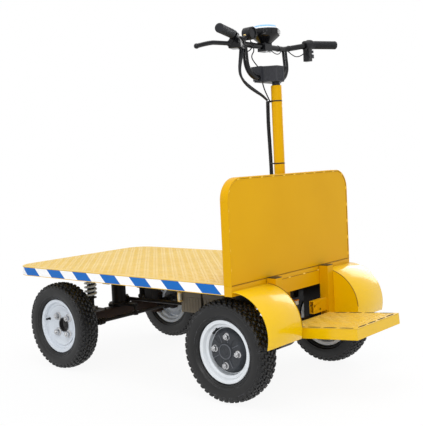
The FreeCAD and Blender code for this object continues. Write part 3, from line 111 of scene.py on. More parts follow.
def deselect():
    if bpy.context.object and bpy.context.object.mode == "EDIT":
        bpy.ops.object.mode_set(mode="OBJECT")
    bpy.ops.object.select_all(action="DESELECT")


def choose(piece):
    # only this piece selected, and active
    deselect()
    piece.select_set(True)
    bpy.context.view_layer.objects.active = piece
    return piece


def named(piece, name):
    piece.name = piece.data.name = name
    return piece


def shape(kind="corner"):
    # edit mode, picking corners, edges or faces
    bpy.context.tool_settings.mesh_select_mode = (kind == "corner", kind == "edge", kind == "face")
    bpy.ops.object.mode_set(mode="EDIT")


def settle(name, smooth=35):
    # back to object mode, the place put into the mesh, round faces smoothed
    piece = choose(bpy.context.object)
    bpy.ops.object.transform_apply(location=True, rotation=True, scale=True)
    bpy.ops.object.shade_smooth_by_angle(angle=math.radians(smooth))
    return named(piece, name)


def apply(piece, kind, **settings):
    # one modifier, applied at once
    choose(piece)
    step = piece.modifiers.new(kind.title(), kind)
    for key, value in settings.items():
        setattr(step, key, value)
    bpy.ops.object.modifier_apply(modifier=step.name)
    return piece


def mergeAndTurn():
    # in edit mode: doubles merged and faces turned outwards
    bpy.ops.mesh.select_all(action="SELECT")
    bpy.ops.mesh.remove_doubles(threshold=mergeGap)
    bpy.ops.mesh.normals_make_consistent(inside=False)


def faceUp(piece):
    choose(piece)
    shape()
    mergeAndTurn()
    deselect()
    return piece


def pick(piece, test):
    # edit mode, with the corners that pass the test selected
    choose(piece)
    shape()
    bpy.ops.mesh.select_all(action="DESELECT")
    bpy.ops.object.mode_set(mode="OBJECT")
    for corner in piece.data.vertices:
        corner.select = test(corner.co)
    shape()


def slab(name, low, high, bevel=0.001, segments=2, smooth=35):
    # a rounded block between two corners
    low, high = Vector(low), Vector(high)
    middle = (low + high) / 2
    deselect()
    bpy.ops.mesh.primitive_cube_add(size=1, location=middle)
    shape()
    bpy.ops.transform.resize(value=high - low, center_override=middle)
    bpy.ops.mesh.bevel(offset=bevel, segments=segments, affect="EDGES")
    return settle(name, smooth)


def drum(sides, radius, depth, lift=0.0, kind="corner"):
    # an upright cylinder in edit mode, its middle at the lift
    deselect()
    bpy.ops.mesh.primitive_cylinder_add(vertices=sides, radius=radius, depth=depth, location=(0, 0, lift))
    shape(kind)


def bar(name, start, end, radius, sides, bevel):
    # a many-sided bar with broken edges
    start, end = Vector(start), Vector(end)
    run = end - start
    deselect()
    bpy.ops.mesh.primitive_cylinder_add(vertices=sides, radius=radius, depth=run.length, location=(start + end) / 2,
                                        rotation=run.to_track_quat("Z", "Y").to_euler())
    shape("edge")
    bpy.ops.mesh.select_all(action="DESELECT")
    bpy.ops.mesh.edges_select_sharp(sharpness=math.radians(50))
    bpy.ops.mesh.bevel(offset=bevel, segments=2, affect="EDGES")
    return settle(name)


def lozenge(name, sides, length, width, rise, taper=None):
    # a flat oval pad on the origin; taper narrows its top
    deselect()
    bpy.ops.mesh.primitive_circle_add(vertices=sides, radius=0.5, fill_type="NGON")
    shape()
    bpy.ops.transform.resize(value=(length, width, 1))
    bpy.ops.mesh.extrude_region_move(TRANSFORM_OT_translate={"value": (0, 0, rise)})
    if taper:
        bpy.ops.transform.resize(value=(*taper, 1), center_override=(0, 0, rise))
    return settle(name, 20)


def traced(spots):
    # a chain of edges drawn from one vertex, left picked in edit mode
    deselect()
    bpy.ops.mesh.primitive_plane_add(size=0.01, location=spots[0])
    shape()
    bpy.ops.mesh.merge(type="CENTER")
    for here, there in zip(spots, spots[1:]):
        bpy.ops.mesh.extrude_region_move(TRANSFORM_OT_translate={"value": there - here})
    bpy.ops.mesh.select_all(action="SELECT")


def spun(name, outline, centre=(0, 0, 0), axis="z", steps=64, smooth=35):
    # an outline of (radius, height) pairs spun round an axis
    axle, out = ways[axis]
    traced([Vector(centre) + out * radius + axle * height for radius, height in outline])
    bpy.ops.mesh.spin(steps=steps, angle=2 * math.pi, center=centre, axis=axle)
    mergeAndTurn()
    return settle(name, smooth)


def rail(name, spots, radius, closed=False):
    # a chain of edges given a round section
    spots = [Vector(spot) for spot in spots]
    traced(spots + spots[:1] if closed else spots)
    bpy.ops.mesh.remove_doubles(threshold=mergeGap)
    choose(bpy.context.object)
    bpy.ops.object.convert(target="CURVE")
    line = bpy.context.object.data
    line.bevel_depth = radius
    line.bevel_resolution = 2
    line.use_fill_caps = True
    bpy.ops.object.convert(target="MESH")
    return settle(name, 60)


def strand(name, points, radius, resolution):
    # a round cable on a smooth open spline
    line = bpy.data.curves.new(name, "CURVE")
    line.dimensions = "3D"
    line.bevel_depth = radius
    line.bevel_resolution = 4
    line.resolution_u = resolution
    line.use_fill_caps = True
    run = line.splines.new("NURBS")
    run.points.add(len(points) - 1)
    for knot, spot in zip(run.points, points):
        knot.co = (*spot, 1)
    run.order_u = 3
    run.use_endpoint_u = True
    piece = bpy.data.objects.new(name, line)
    bpy.context.collection.objects.link(piece)
    return piece


def cable(name, points, radius, resolution):
    # a strand turned into a mesh
    piece = choose(strand(name, points, radius, resolution))
    bpy.ops.object.convert(target="MESH")
    return settle(piece.name, 60)


def arc(centre, radius, first, last, count):
    # points on an upright arc across the cart, in degrees
    turns = [math.radians(first + (last - first) * k / count) for k in range(count + 1)]
    return [Vector(centre) + Vector((0, radius * math.cos(turn), radius * math.sin(turn))) for turn in turns]


def along(spots, gap, start=0.0):
    # places every gap along a chain of points, with the heading there
    places, travelled, due = [], 0.0, start
    for here, there in zip(spots, spots[1:]):
        run = (there - here).length
        while due <= travelled + run:
            places.append((here.lerp(there, (due - travelled) / run), (there - here).normalized()))
            due += gap
        travelled += run
    return places


def at(x, y, z, turn=None):
    # a place, turned so that local +Z points along turn
    spot = Matrix.Translation((x, y, z))
    return spot @ Vector(turn).to_track_quat("Z", "Y").to_matrix().to_4x4() if turn else spot


def turned(degrees, axis="Z"):
    return Matrix.Rotation(math.radians(degrees), 4, axis)


def twin(source):
    # a copy with its own mesh
    piece = source.copy()
    piece.data = source.data.copy()
    bpy.context.collection.objects.link(piece)
    return piece


def repeated(name, source, places, keep=False):
    # copies of one small shape, joined
    deselect()
    for spot in places:
        piece = twin(source)
        piece.data.transform(spot)
        if spot.determinant() < 0:
            piece.data.flip_normals()
        piece.select_set(True)
    bpy.context.view_layer.objects.active = piece
    bpy.ops.object.join()
    if not keep:
        bpy.data.objects.remove(source)
    return named(bpy.context.object, name)


def joined(name, *pieces):
    deselect()
    for piece in pieces:
        piece.select_set(True)
    bpy.context.view_layer.objects.active = pieces[0]
    bpy.ops.object.join()
    return named(pieces[0], name)


def carved(piece, *cutters):
    # the cutters are taken out of the piece and thrown away
    for cutter in cutters:
        apply(piece, "BOOLEAN", operation="DIFFERENCE", object=cutter, solver="EXACT")
        bpy.data.objects.remove(cutter)
    return piece


def coatWith(piece, finish):
    piece.data.materials.clear()
    piece.data.materials.append(finishes[finish])


def dress(piece, body, finish, stands=()):
    # finish, moving body and the nodes that the piece stands for
    named(piece, piece.name.replace(" ", "_"))
    coatWith(piece, finish)
    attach(piece, body)
    if stands:
        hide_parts(*stands)
    return piece


washer = dict(reach=1.25, topReach=1.18, edge=0.0012, height=0.0016, seat=0.0014)


def boltHead(name, size, height):
    # a hexagon head with a chamfered top on its washer, standing on the origin along +Z
    drum(6, size, height, height / 2 + washer["seat"], "face")
    bpy.ops.mesh.bevel(offset=size * 0.08, segments=1, affect="EDGES")
    head = settle(name + " head", 20)
    reach, topReach = size * washer["reach"], size * washer["topReach"]
    outline = [(0, 0), (reach, 0), (reach, washer["edge"]), (topReach, washer["height"]), (0, washer["height"])]
    return joined(name, head, spun(name + " washer", outline, steps=20))


# ---- places on the cart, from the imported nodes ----

def middleOf(node):
    low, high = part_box(node)
    return (low + high) / 2


deckLow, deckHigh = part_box("deck_plate")
skirtLow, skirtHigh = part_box("deck_skirt")
columnLow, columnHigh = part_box("steering_column")
columnX = middleOf("steering_column").x
columnRadius = (columnHigh - columnLow).x / 2
columnFront = columnX + columnRadius
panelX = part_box("guard_rim")[0].x
deckTop = deckHigh.z
noseX = deckHigh.x
deckHalf = deckHigh.y
deckCorner = 0.1
wheels = {corner: middleOf("tyre_" + corner) for corner in ("front_left", "front_right", "rear_left", "rear_right")}
wheelRadius = 0.191
kingpinX = middleOf("centre_post").x
kingpinY = 0.270
armX = 0.455


# ---- camera, light and floor ----

camera = dict(place=(-2.1896, 2.4648, 0.8893), heading=-49.02, dip=3.92, roll=-2.76, lens=65.13)
light = dict(ambient=0.8, tint=(0.98, 0.99, 1.0, 1), aim=(0, 0, 0.5))
lamps = dict(overhead=dict(place=(-0.6, 0.9, 3.6), power=46, size=2.4),
             side=dict(place=(-2.6, 3.3, 2.5), power=30, size=0.7),
             back=dict(place=(0.1, -4.6, 2.4), power=80, size=2.8))
floorLook = dict(half=9, colour=tone(240, 240, 240), near=0.9, far=2.4, glow=0.92)


def setCamera():
    heading, dip, roll = (math.radians(camera[key]) for key in ("heading", "dip", "roll"))
    ahead = Vector((math.cos(dip) * math.cos(heading), math.cos(dip) * math.sin(heading), -math.sin(dip)))
    side = ahead.cross(Vector((0, 0, 1))).normalized()
    top = side.cross(ahead)
    right = side * math.cos(roll) + top * math.sin(roll)
    up = top * math.cos(roll) - side * math.sin(roll)
    lens = bpy.data.cameras.new("camera")
    lens.lens = camera["lens"]
    lens.sensor_width = 36
    eye = bpy.data.objects.new("camera", lens)
    eye.matrix_world = Matrix.Translation(camera["place"]) @ Matrix((right, up, -ahead)).transposed().to_4x4()
    bpy.context.collection.objects.link(eye)
    bpy.context.scene.camera = eye


def seenDirectly(tree):
    # 1 for camera, mirror and see-through rays
    path = tree.nodes.new("ShaderNodeLightPath").outputs
    glossy = maths(tree, "MAXIMUM", path["Is Camera Ray"], path["Is Glossy Ray"])
    return maths(tree, "MAXIMUM", glossy, path["Is Transmission Ray"])


def setLight():
    world = bpy.data.worlds.new("studio")
    bpy.context.scene.world = world
    world.use_nodes = True
    tree = world.node_tree
    tree.nodes.clear()
    room = put(tree, "Background", {"Color": light["tint"], "Strength": light["ambient"]})
    backdrop = put(tree, "Background", {"Color": (1, 1, 1, 1), "Strength": 1.0})
    both = put(tree, "MixShader", {0: seenDirectly(tree), 1: room.outputs[0], 2: backdrop.outputs[0]})
    put(tree, "OutputWorld", {"Surface": both.outputs[0]})
    for name, look in lamps.items():
        lamp = bpy.data.lights.new(name, "AREA")
        lamp.energy, lamp.size = look["power"], look["size"]
        holder = bpy.data.objects.new(name, lamp)
        holder.location = look["place"]
        holder.rotation_euler = (Vector(light["aim"]) - holder.location).to_track_quat("-Z", "Y").to_euler()
        bpy.context.collection.objects.link(holder)
    bpy.context.scene.view_settings.view_transform = "Standard"


def layFloor():
    deselect()
    bpy.ops.mesh.primitive_plane_add(size=2 * floorLook["half"])
    floor = settle("floor")
    paper = bpy.data.materials.new("pale floor")
    paper.use_nodes = True
    tree = paper.node_tree
    tree.nodes.clear()
    matt = put(tree, "BsdfPrincipled", {"Base Color": floorLook["colour"], "Roughness": 0.85})
    glow = put(tree, "Emission", {"Color": (1, 1, 1, 1), "Strength": 1.0})
    spot = ownSpot(tree)
    away = put(tree, "VectorMath", {0: spot}, operation="LENGTH").outputs["Value"]
    fade = stretch(tree, away, floorLook["near"], floorLook["far"], floorLook["glow"], 1.0)
    share = maths(tree, "MULTIPLY", seenDirectly(tree), fade)
    both = put(tree, "MixShader", {0: share, 1: matt.outputs[0], 2: glow.outputs[0]})
    put(tree, "OutputMaterial", {"Surface": both.outputs[0]})
    floor.data.materials.append(paper)


setCamera()
setLight()
layFloor()
print("camera, light and floor set")


# ---- shared shader effects ----

def makeEdgeGroup():
    # a mask that rises along sharp edges, broken up by noise, and a normal that rounds them
    tree, given, result = newGroup("sharp edge mask", {"Width": 0.002, "Amount": 0.5},
                                   {"Mask": "NodeSocketFloat", "Normal": "NodeSocketVector"})
    soft = put(tree, "Bevel", {"Radius": given["Width"]}, samples=4).outputs[0]
    geometry = tree.nodes.new("ShaderNodeNewGeometry").outputs
    match = put(tree, "VectorMath", {0: soft, 1: geometry["Normal"]}, operation="DOT_PRODUCT").outputs["Value"]
    sharp = stretch(tree, match, 0.995, 0.86)
    spot = ownSpot(tree)
    chips = put(tree, "TexNoise", {"Vector": spot, "Scale": 70.0, "Detail": 5.0, "Roughness": 0.65}).outputs[0]
    broken = stretch(tree, chips, 0.5, 0.66)
    both = maths(tree, "MULTIPLY", sharp, broken)
    tree.links.new(maths(tree, "MULTIPLY", both, given["Amount"], clamp=True), result["Mask"])
    tree.links.new(soft, result["Normal"])
    return tree


def makeSkinGroup():
    # slow colour drift, fine orange peel and dust that lies on level faces
    tree, given, result = newGroup("paint skin", {"Peel Scale": 260.0, "Drift Scale": 3.0},
                                   {"Drift": "NodeSocketFloat", "Height": "NodeSocketFloat",
                                    "Dust": "NodeSocketFloat", "Scuff": "NodeSocketFloat"})
    spot = ownSpot(tree)
    drift = put(tree, "TexNoise", {"Vector": spot, "Scale": given["Drift Scale"], "Detail": 3.0}).outputs[0]
    peel = put(tree, "TexNoise", {"Vector": spot, "Scale": given["Peel Scale"], "Detail": 2.0}).outputs[0]
    geometry = tree.nodes.new("ShaderNodeNewGeometry").outputs
    upward = put(tree, "SeparateXYZ", {0: geometry["Normal"]}).outputs["Z"]
    cloud = put(tree, "TexNoise", {"Vector": spot, "Scale": 14.0, "Detail": 8.0, "Roughness": 0.7}).outputs[0]
    level = stretch(tree, upward, 0.35, 0.95)
    settled = maths(tree, "MULTIPLY", level, stretch(tree, cloud, 0.42, 0.72))
    streak = put(tree, "Mapping", {"Vector": spot, "Scale": (40.0, 9.0, 40.0)}).outputs[0]
    scratch = put(tree, "TexNoise", {"Vector": streak, "Scale": 4.0, "Detail": 6.0, "Roughness": 0.75}).outputs[0]
    tree.links.new(stretch(tree, drift, 0.3, 0.7), result["Drift"])
    tree.links.new(peel, result["Height"])
    tree.links.new(settled, result["Dust"])
    tree.links.new(stretch(tree, scratch, 0.6, 0.72), result["Scuff"])
    return tree


def makeGrainGroup():
    # moulded or cast grain, with a slow patchiness
    tree, given, result = newGroup("moulded grain", {"Scale": 900.0, "Patch Scale": 9.0},
                                   {"Height": "NodeSocketFloat", "Patch": "NodeSocketFloat"})
    spot = ownSpot(tree)
    cells = put(tree, "TexVoronoi", {"Vector": spot, "Scale": given["Scale"]}).outputs["Distance"]
    patch = put(tree, "TexNoise", {"Vector": spot, "Scale": given["Patch Scale"], "Detail": 5.0}).outputs[0]
    tree.links.new(cells, result["Height"])
    tree.links.new(stretch(tree, patch, 0.32, 0.7), result["Patch"])
    return tree


edgeGroup = makeEdgeGroup()
skinGroup = makeSkinGroup()
grainGroup = makeGrainGroup()


def placeGroup(tree, group, **values):
    return put(tree, "Group", spaced(values), node_tree=group).outputs


# ---- finishes ----

bareSteel = tone(96, 84, 66)


def newFinish(name):
    finish = bpy.data.materials.new(name)
    finish.use_nodes = True
    finish.node_tree.nodes.clear()
    return finish, finish.node_tree


def surfaced(finish, colour, rough, relief=None, **sockets):
    # the surface and its output; relief is a height, its strength and depth, and the edges that it lies on
    tree = finish.node_tree
    inputs = {"Base Color": colour, "Roughness": rough}
    if relief:
        height, strength, depth, edges = relief
        inputs["Normal"] = put(tree, "Bump", {"Height": height, "Strength": strength, "Distance": depth,
                                              "Normal": edges["Normal"]}).outputs[0]
    inputs.update(spaced(sockets))
    put(tree, "OutputMaterial", {"Surface": put(tree, "BsdfPrincipled", inputs).outputs[0]})
    return finish


def dusted(tree, skin, share, body, dust):
    return blendColour(tree, maths(tree, "MULTIPLY", skin["Dust"], share), body, dust)


def paint(name, colour, shade, roughness=0.32, peel=0.02, dust=0.12, wear=0.5, under=bareSteel, coat=0.03):
    # sprayed paint over steel: colour drift, orange peel, dust on level faces, chips along edges
    finish, tree = newFinish(name)
    edges = placeGroup(tree, edgeGroup, Width=0.0014, Amount=wear)
    skin = placeGroup(tree, skinGroup)
    body = blendColour(tree, maths(tree, "MULTIPLY", skin["Drift"], 0.5), colour, shade)
    chipped = blendColour(tree, edges["Mask"], dusted(tree, skin, dust, body, tone(200, 188, 160)), under)
    rough = stretch(tree, skin["Drift"], 0, 1, roughness - 0.05, roughness + 0.07)
    rougher = maths(tree, "ADD", rough, maths(tree, "MULTIPLY", skin["Dust"], 0.25), clamp=True)
    return surfaced(finish, chipped, rougher, (skin["Height"], peel, 0.002, edges), Specular_IOR_Level=0.09,
                    Coat_Weight=coat, Coat_Roughness=0.12)


def framePaint(name, rearColour, colour, shade, limit):
    # black paint, with the cross beam behind the guard in the bodywork's colour
    finish, tree = newFinish(name)
    axes = put(tree, "SeparateXYZ", {0: ownSpot(tree)}).outputs
    behind = maths(tree, "LESS_THAN", axes["X"], limit)
    edges = placeGroup(tree, edgeGroup, Width=0.0014, Amount=0.5)
    skin = placeGroup(tree, skinGroup)
    both = blendColour(tree, behind, blendColour(tree, skin["Drift"], colour, shade), rearColour)
    chipped = blendColour(tree, edges["Mask"], dusted(tree, skin, 0.12, both, tone(160, 150, 130)), bareSteel)
    rough = stretch(tree, skin["Drift"], 0, 1, 0.34, 0.46)
    return surfaced(finish, chipped, rough, (skin["Height"], 0.06, 0.002, edges), Specular_IOR_Level=0.2)


def moulded(name, colour, paler, roughness=0.5, grain=0.12, scale=900.0):
    # rubber or plastic with moulded grain, paler where it is rubbed
    finish, tree = newFinish(name)
    edges = placeGroup(tree, edgeGroup, Width=0.0008, Amount=0.25)
    grains = placeGroup(tree, grainGroup, Scale=scale)
    skin = placeGroup(tree, skinGroup)
    body = blendColour(tree, maths(tree, "MULTIPLY", grains["Patch"], 0.6), colour, paler)
    palerEdges = blendColour(tree, edges["Mask"], dusted(tree, skin, 0.1, body, tone(150, 145, 135)), paler)
    rough = stretch(tree, grains["Patch"], 0, 1, roughness - 0.06, roughness + 0.08)
    return surfaced(finish, palerEdges, rough, (grains["Height"], grain, 0.0006, edges), Specular_IOR_Level=0.3)


def metal(name, colour, darker, roughness):
    # plated or machined steel with faint machining marks and tarnish
    finish, tree = newFinish(name)
    edges = placeGroup(tree, edgeGroup, Width=0.0006, Amount=0.3)
    skin = placeGroup(tree, skinGroup, Peel_Scale=300.0, Drift_Scale=22.0)
    body = blendColour(tree, skin["Drift"], colour, darker)
    rough = stretch(tree, skin["Scuff"], 0, 1, roughness, roughness + 0.18)
    return surfaced(finish, body, rough, (skin["Height"], 0.05, 0.0005, edges), Metallic=1.0)


stripe = dict(first=noseX - 0.068, pitch=0.1765, width=0.091, lip=0.0028,
              blue=tone(0, 102, 188), white=tone(250, 250, 250), yellow=tone(236, 188, 40))


def tapedSkirt():
    # white and blue tape that runs round the corners, leaning down to the rear, with a bare lower lip
    finish, tree = newFinish("taped skirt")
    spot = ownSpot(tree)
    axes = put(tree, "SeparateXYZ", {0: spot}).outputs
    cornerX, cornerY = noseX - deckCorner, deckHalf - deckCorner
    side = maths(tree, "ABSOLUTE", axes["Y"])
    outX = maths(tree, "MAXIMUM", maths(tree, "SUBTRACT", axes["X"], cornerX), 0.0)
    outY = maths(tree, "MAXIMUM", maths(tree, "SUBTRACT", side, cornerY), 0.0)
    angle = maths(tree, "ARCTAN2", outX, outY)
    straight = maths(tree, "MINIMUM", axes["X"], cornerX)
    bend = maths(tree, "MULTIPLY", angle, deckCorner)
    across = maths(tree, "MAXIMUM", maths(tree, "SUBTRACT", cornerY, side), 0.0)
    onNose = maths(tree, "GREATER_THAN", axes["X"], cornerX)
    run = maths(tree, "ADD", maths(tree, "ADD", straight, bend), maths(tree, "MULTIPLY", across, onNose))
    fall = maths(tree, "SUBTRACT", skirtHigh.z, axes["Z"])
    lean = maths(tree, "ADD", run, fall)
    turns = maths(tree, "DIVIDE", maths(tree, "SUBTRACT", stripe["first"], lean), stripe["pitch"])
    part = maths(tree, "FRACT", maths(tree, "ADD", turns, 8.0))
    isBlue = maths(tree, "LESS_THAN", part, stripe["width"] / stripe["pitch"])
    isLip = maths(tree, "LESS_THAN", axes["Z"], skirtLow.z + stripe["lip"])
    edges = placeGroup(tree, edgeGroup, Width=0.001, Amount=0.35)
    skin = placeGroup(tree, skinGroup)
    tape = blendColour(tree, isBlue, stripe["white"], stripe["blue"])
    both = blendColour(tree, isLip, tape, stripe["yellow"])
    soiled = blendColour(tree, maths(tree, "MULTIPLY", skin["Scuff"], 0.25), both, tone(150, 146, 138))
    worn = blendColour(tree, edges["Mask"], soiled, stripe["yellow"])
    rough = stretch(tree, skin["Drift"], 0, 1, 0.26, 0.38)
    return surfaced(finish, worn, rough, (skin["Height"], 0.03, 0.001, edges), Specular_IOR_Level=0.2,
                    Coat_Weight=0.05, Coat_Roughness=0.15)


def tyreRubber():
    # black rubber with a fine grain, bluish grey along its edges: partly worn rubber, partly a painted highlight on
    # the blocks' edges
    finish, tree = newFinish("tyre rubber")
    edges = placeGroup(tree, edgeGroup, Width=0.001, Amount=0.5)
    grains = placeGroup(tree, grainGroup, Scale=700.0, Patch_Scale=18.0)
    body = blendColour(tree, grains["Patch"], tone(5, 5, 6), tone(15, 15, 17))
    # the bluish grey on the edges is partly a painted highlight
    palerEdges = blendColour(tree, edges["Mask"], body, tone(150, 150, 158))
    rough = stretch(tree, grains["Patch"], 0, 1, 0.38, 0.52)
    return surfaced(finish, palerEdges, rough, (grains["Height"], 0.12, 0.0005, edges), Specular_IOR_Level=0.45)


def clear(name, tint, roughness):
    # clear moulding with faint swirl marks
    finish, tree = newFinish(name)
    skin = placeGroup(tree, skinGroup, Peel_Scale=90.0)
    rough = stretch(tree, skin["Scuff"], 0, 1, roughness, roughness + 0.12)
    return surfaced(finish, tint, rough, Transmission_Weight=0.9, IOR=1.45)


finishes = {
    "amber": paint("amber paint", tone(219, 165, 0), tone(207, 152, 0), roughness=0.34, peel=0.03, dust=0.08),
    "yellow": paint("bright yellow paint", tone(236, 191, 0), tone(228, 181, 0), roughness=0.26, peel=0.1,
                    dust=0.05, coat=0.6),
    "deck": paint("deck paint", tone(226, 187, 62), tone(218, 174, 48), roughness=0.36, peel=0.06, dust=0.25,
                  coat=0.3, wear=0.35),
    "weld": paint("painted weld", tone(246, 214, 96), tone(226, 172, 30), roughness=0.25, peel=0.2, wear=0.2),
    # dark brown seam lines: painted shade in the gaps between sheets
    "seam": moulded("seam shade", tone(92, 52, 10), tone(120, 74, 18), roughness=0.7),
    # dark dashes at the platform's edges: painted shadow
    "slot": moulded("slot shadow", tone(34, 20, 6), tone(48, 30, 10), roughness=0.8),
    "skirt": tapedSkirt(),
    "black": paint("black chassis paint", tone(24, 22, 22), tone(36, 31, 28), roughness=0.42, peel=0.08, dust=0.12,
                   under=tone(110, 92, 78)),
    "frame": framePaint("frame paint", tone(219, 165, 0), tone(24, 22, 22), tone(36, 31, 28), panelX + 0.036),
    "brown": paint("primed axle paint", tone(44, 33, 28), tone(60, 44, 36), roughness=0.5, peel=0.1, dust=0.15,
                   under=tone(130, 104, 84)),
    "white": paint("white paint", tone(232, 236, 240), tone(214, 219, 225), roughness=0.25, peel=0.04, dust=0.05,
                   under=tone(150, 148, 144), wear=0.25, coat=0.4),
    "silver": paint("silver paint", tone(216, 222, 230), tone(200, 207, 216), roughness=0.3, peel=0.04, dust=0.06,
                    under=tone(120, 120, 120), wear=0.25, coat=0.4),
    "steel": metal("bright steel", tone(205, 206, 208), tone(168, 168, 170), roughness=0.24),
    "dullSteel": metal("dull steel", tone(128, 124, 120), tone(92, 88, 84), roughness=0.45),
    "cast": moulded("cast hub", tone(44, 46, 50), tone(70, 74, 80), roughness=0.45, grain=0.3, scale=420.0),
    # pale grey cast: a painted highlight for the hub cover's edges
    "castHighlight": moulded("cast with painted highlight", tone(88, 91, 98), tone(122, 126, 132), roughness=0.4, grain=0.2),
    "tyre": tyreRubber(),
    "rubber": moulded("grip rubber", tone(22, 23, 26), tone(38, 40, 45), roughness=0.5, grain=0.2),
    "plastic": moulded("black plastic", tone(16, 16, 19), tone(30, 31, 36), roughness=0.32, grain=0.12),
    "buff": moulded("buff plastic", tone(236, 200, 120), tone(246, 216, 146), roughness=0.35, grain=0.05),
    "shell": moulded("lamp shell", tone(38, 39, 44), tone(54, 55, 62), roughness=0.4, grain=0.12),
    "gloss": moulded("gloss black", tone(8, 8, 10), tone(18, 18, 21), roughness=0.14, grain=0.02),
    "battery": moulded("battery shell", tone(92, 84, 70), tone(118, 108, 92), roughness=0.5, grain=0.15,
                       scale=500.0),
    "orange": moulded("orange plug", tone(228, 128, 36), tone(244, 160, 70), roughness=0.4),
    "cream": moulded("cream plug", tone(232, 226, 208), tone(246, 242, 230), roughness=0.4),
    "glassBlue": moulded("pale dome", tone(120, 178, 228), tone(150, 198, 238), roughness=0.12, grain=0.01),
    "lens": clear("lamp lens", tone(236, 242, 246), roughness=0.02),
}
print("finishes made:", len(finishes))

plainNodes = {
    "amber": ("guard_rim", "guard_panel", "rear_posts", "rear_apron", "steering_column", "column_clamps"),
    "yellow": ("fender_left", "fender_right", "platform_frame"),
    "deck": ("deck_plate", "platform_plate"),
    "skirt": ("deck_skirt",),
    "frame": ("chassis_frame",),
    "black": ("battery_tray", "centre_post", "shock_upright", "front_shocks", "bellcrank",
              "drag_link", "tie_rod", "knuckle_left", "knuckle_right", "drive_motor"),
    "brown": ("rear_axle", "front_axle_beam"),
    "plastic": ("steering_shaft", "post_caps", "control_pod", "switch_block", "meter_body"),
    "shell": ("headlamp_housing",),
    "gloss": ("handlebar", "handlebar_clamp", "brake_lever"),
    "rubber": ("handlebar_grips", "control_cables", "wiring_harness"),
    "battery": ("battery_cases", "battery_packs"),
    "lens": ("headlamp_lens",),
    "glassBlue": ("meter_dial",),
    "tyre": tuple("tyre_" + corner for corner in wheels),
    "white": tuple("rim_" + corner for corner in wheels) + ("shock_springs",),
    "cast": tuple("hub_" + corner for corner in wheels),
}
for finishName, members in plainNodes.items():
    for member in members:
        coatWith(nodes[member], finishName)

softEdges = {
    0.0012: ("guard_rim", "rear_posts", "platform_frame", "chassis_frame", "battery_tray", "column_clamps",
             "rear_apron", "post_caps"),
    0.0008: ("deck_plate", "deck_skirt", "platform_plate", "fender_left", "fender_right", "switch_block",
             "headlamp_housing", "control_pod", "handlebar_clamp"),
}
for width, members in softEdges.items():
    for member in members:
        weld = nodes[member].modifiers.new("Weld", "WELD")
        weld.merge_threshold = 0.00001
        ease = nodes[member].modifiers.new("Bevel", "BEVEL")
        ease.width, ease.segments, ease.limit_method = width, 2, "ANGLE"
        ease.angle_limit = math.radians(40)
        ease.harden_normals = False
print("carried nodes finished")


# ---- chequered tread on the deck and the foot platform ----

tread = dict(length=0.021, width=0.0066, rise=0.0011, taper=(0.82, 0.5), pitch=0.027, sink=0.0001, border=0.013,
             platformBorder=0.012, panelClear=0.05, columnClear=0.062)


def makeTread(name, low, high, level, allowed, place=None):
    # raised lugs at right angles to their neighbours, one pattern cell arrayed and trimmed to the plate
    step = tread["pitch"]
    columns, rows = (int((high[k] - low[k]) / step / 2) + 1 for k in (0, 1))
    origin = Vector(((low.x + high.x) / 2 - (columns - 0.5) * step, (low.y + high.y) / 2 - (rows - 0.5) * step,
                     level - tread["sink"]))
    lug = lozenge("tread lug", 8, tread["length"], tread["width"], tread["rise"], tread["taper"])
    size = len(lug.data.vertices)
    cell = repeated("tread cell", lug, [Matrix.Translation(origin + Vector((i * step, j * step, 0))) @
                                        turned(45 if (i + j) % 2 else -45) for i in (0, 1) for j in (0, 1)])
    settle("tread cell", 20)
    for count, shift in ((columns, (2 * step, 0, 0)), (rows, (0, 2 * step, 0))):
        apply(cell, "ARRAY", count=count, use_relative_offset=False, use_constant_offset=True,
              constant_offset_displace=shift)
    centres = [sum((cell.data.vertices[k].co for k in range(first, first + size)), Vector()) / size
               for first in range(0, len(cell.data.vertices), size)]
    kept = [allowed(centre) for centre in centres]
    pick(cell, lambda co: False)
    bpy.ops.object.mode_set(mode="OBJECT")
    for corner in cell.data.vertices:
        corner.select = not kept[corner.index // size]
    shape()
    bpy.ops.mesh.delete(type="VERT")
    piece = settle(name, 20)
    if place:
        piece.data.transform(place)
    return faceUp(piece)


def onDeck(spot):
    edge = tread["border"]
    overX, overY = spot.x - (noseX - deckCorner), abs(spot.y) - (deckHalf - deckCorner)
    if spot.x < panelX + tread["panelClear"] or spot.x > noseX - edge or abs(spot.y) > deckHalf - edge:
        return False
    if overX > 0 and overY > 0 and math.hypot(overX, overY) > deckCorner - edge:
        return False
    return math.hypot(spot.x - columnX, spot.y) > tread["columnClear"]


def onPlatform(spot):
    edge = tread["platformBorder"]
    return -platformLength + edge < spot.x < -edge and abs(spot.y) < platformHalf - edge


platformLow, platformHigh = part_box("platform_plate")
platformSheet = 0.003
platformRise = platformHigh.z - platformSheet - platformLow.z
platformTilt = math.atan2(platformRise, platformHigh.x - platformLow.x)
platformPlace = at(platformHigh.x, 0, platformLow.z + platformSheet) @ Matrix.Rotation(platformTilt, 4, "Y")
platformLength = (platformHigh.x - platformLow.x) / math.cos(platformTilt)
platformHalf = platformHigh.y

dress(makeTread("deck_tread", deckLow, deckHigh, deckTop, onDeck), "chassis", "deck")
dress(makeTread("platform_tread", Vector((-platformLength, -platformHalf, 0)), Vector((0, platformHalf, 0)), 0,
                onPlatform, platformPlace), "chassis", "deck")
print("treads laid")


# ---- guard, fenders, apron and platform: seam lines of painted shade, weld beads and dashes of painted shadow ----

guard = dict(seamX=panelX + 0.0019, seamY=0.395, seamTop=0.819, corner=0.075, every=0.07)
bead = dict(length=0.016, width=0.0052, rise=0.0022)
# radii of the dark seam lines, which are painted shade
seam = dict(radius=0.0009, apron=0.0008, fender=0.0013)
fender = dict(inner=0.1975, lift=0.0001, first=93, step=4)
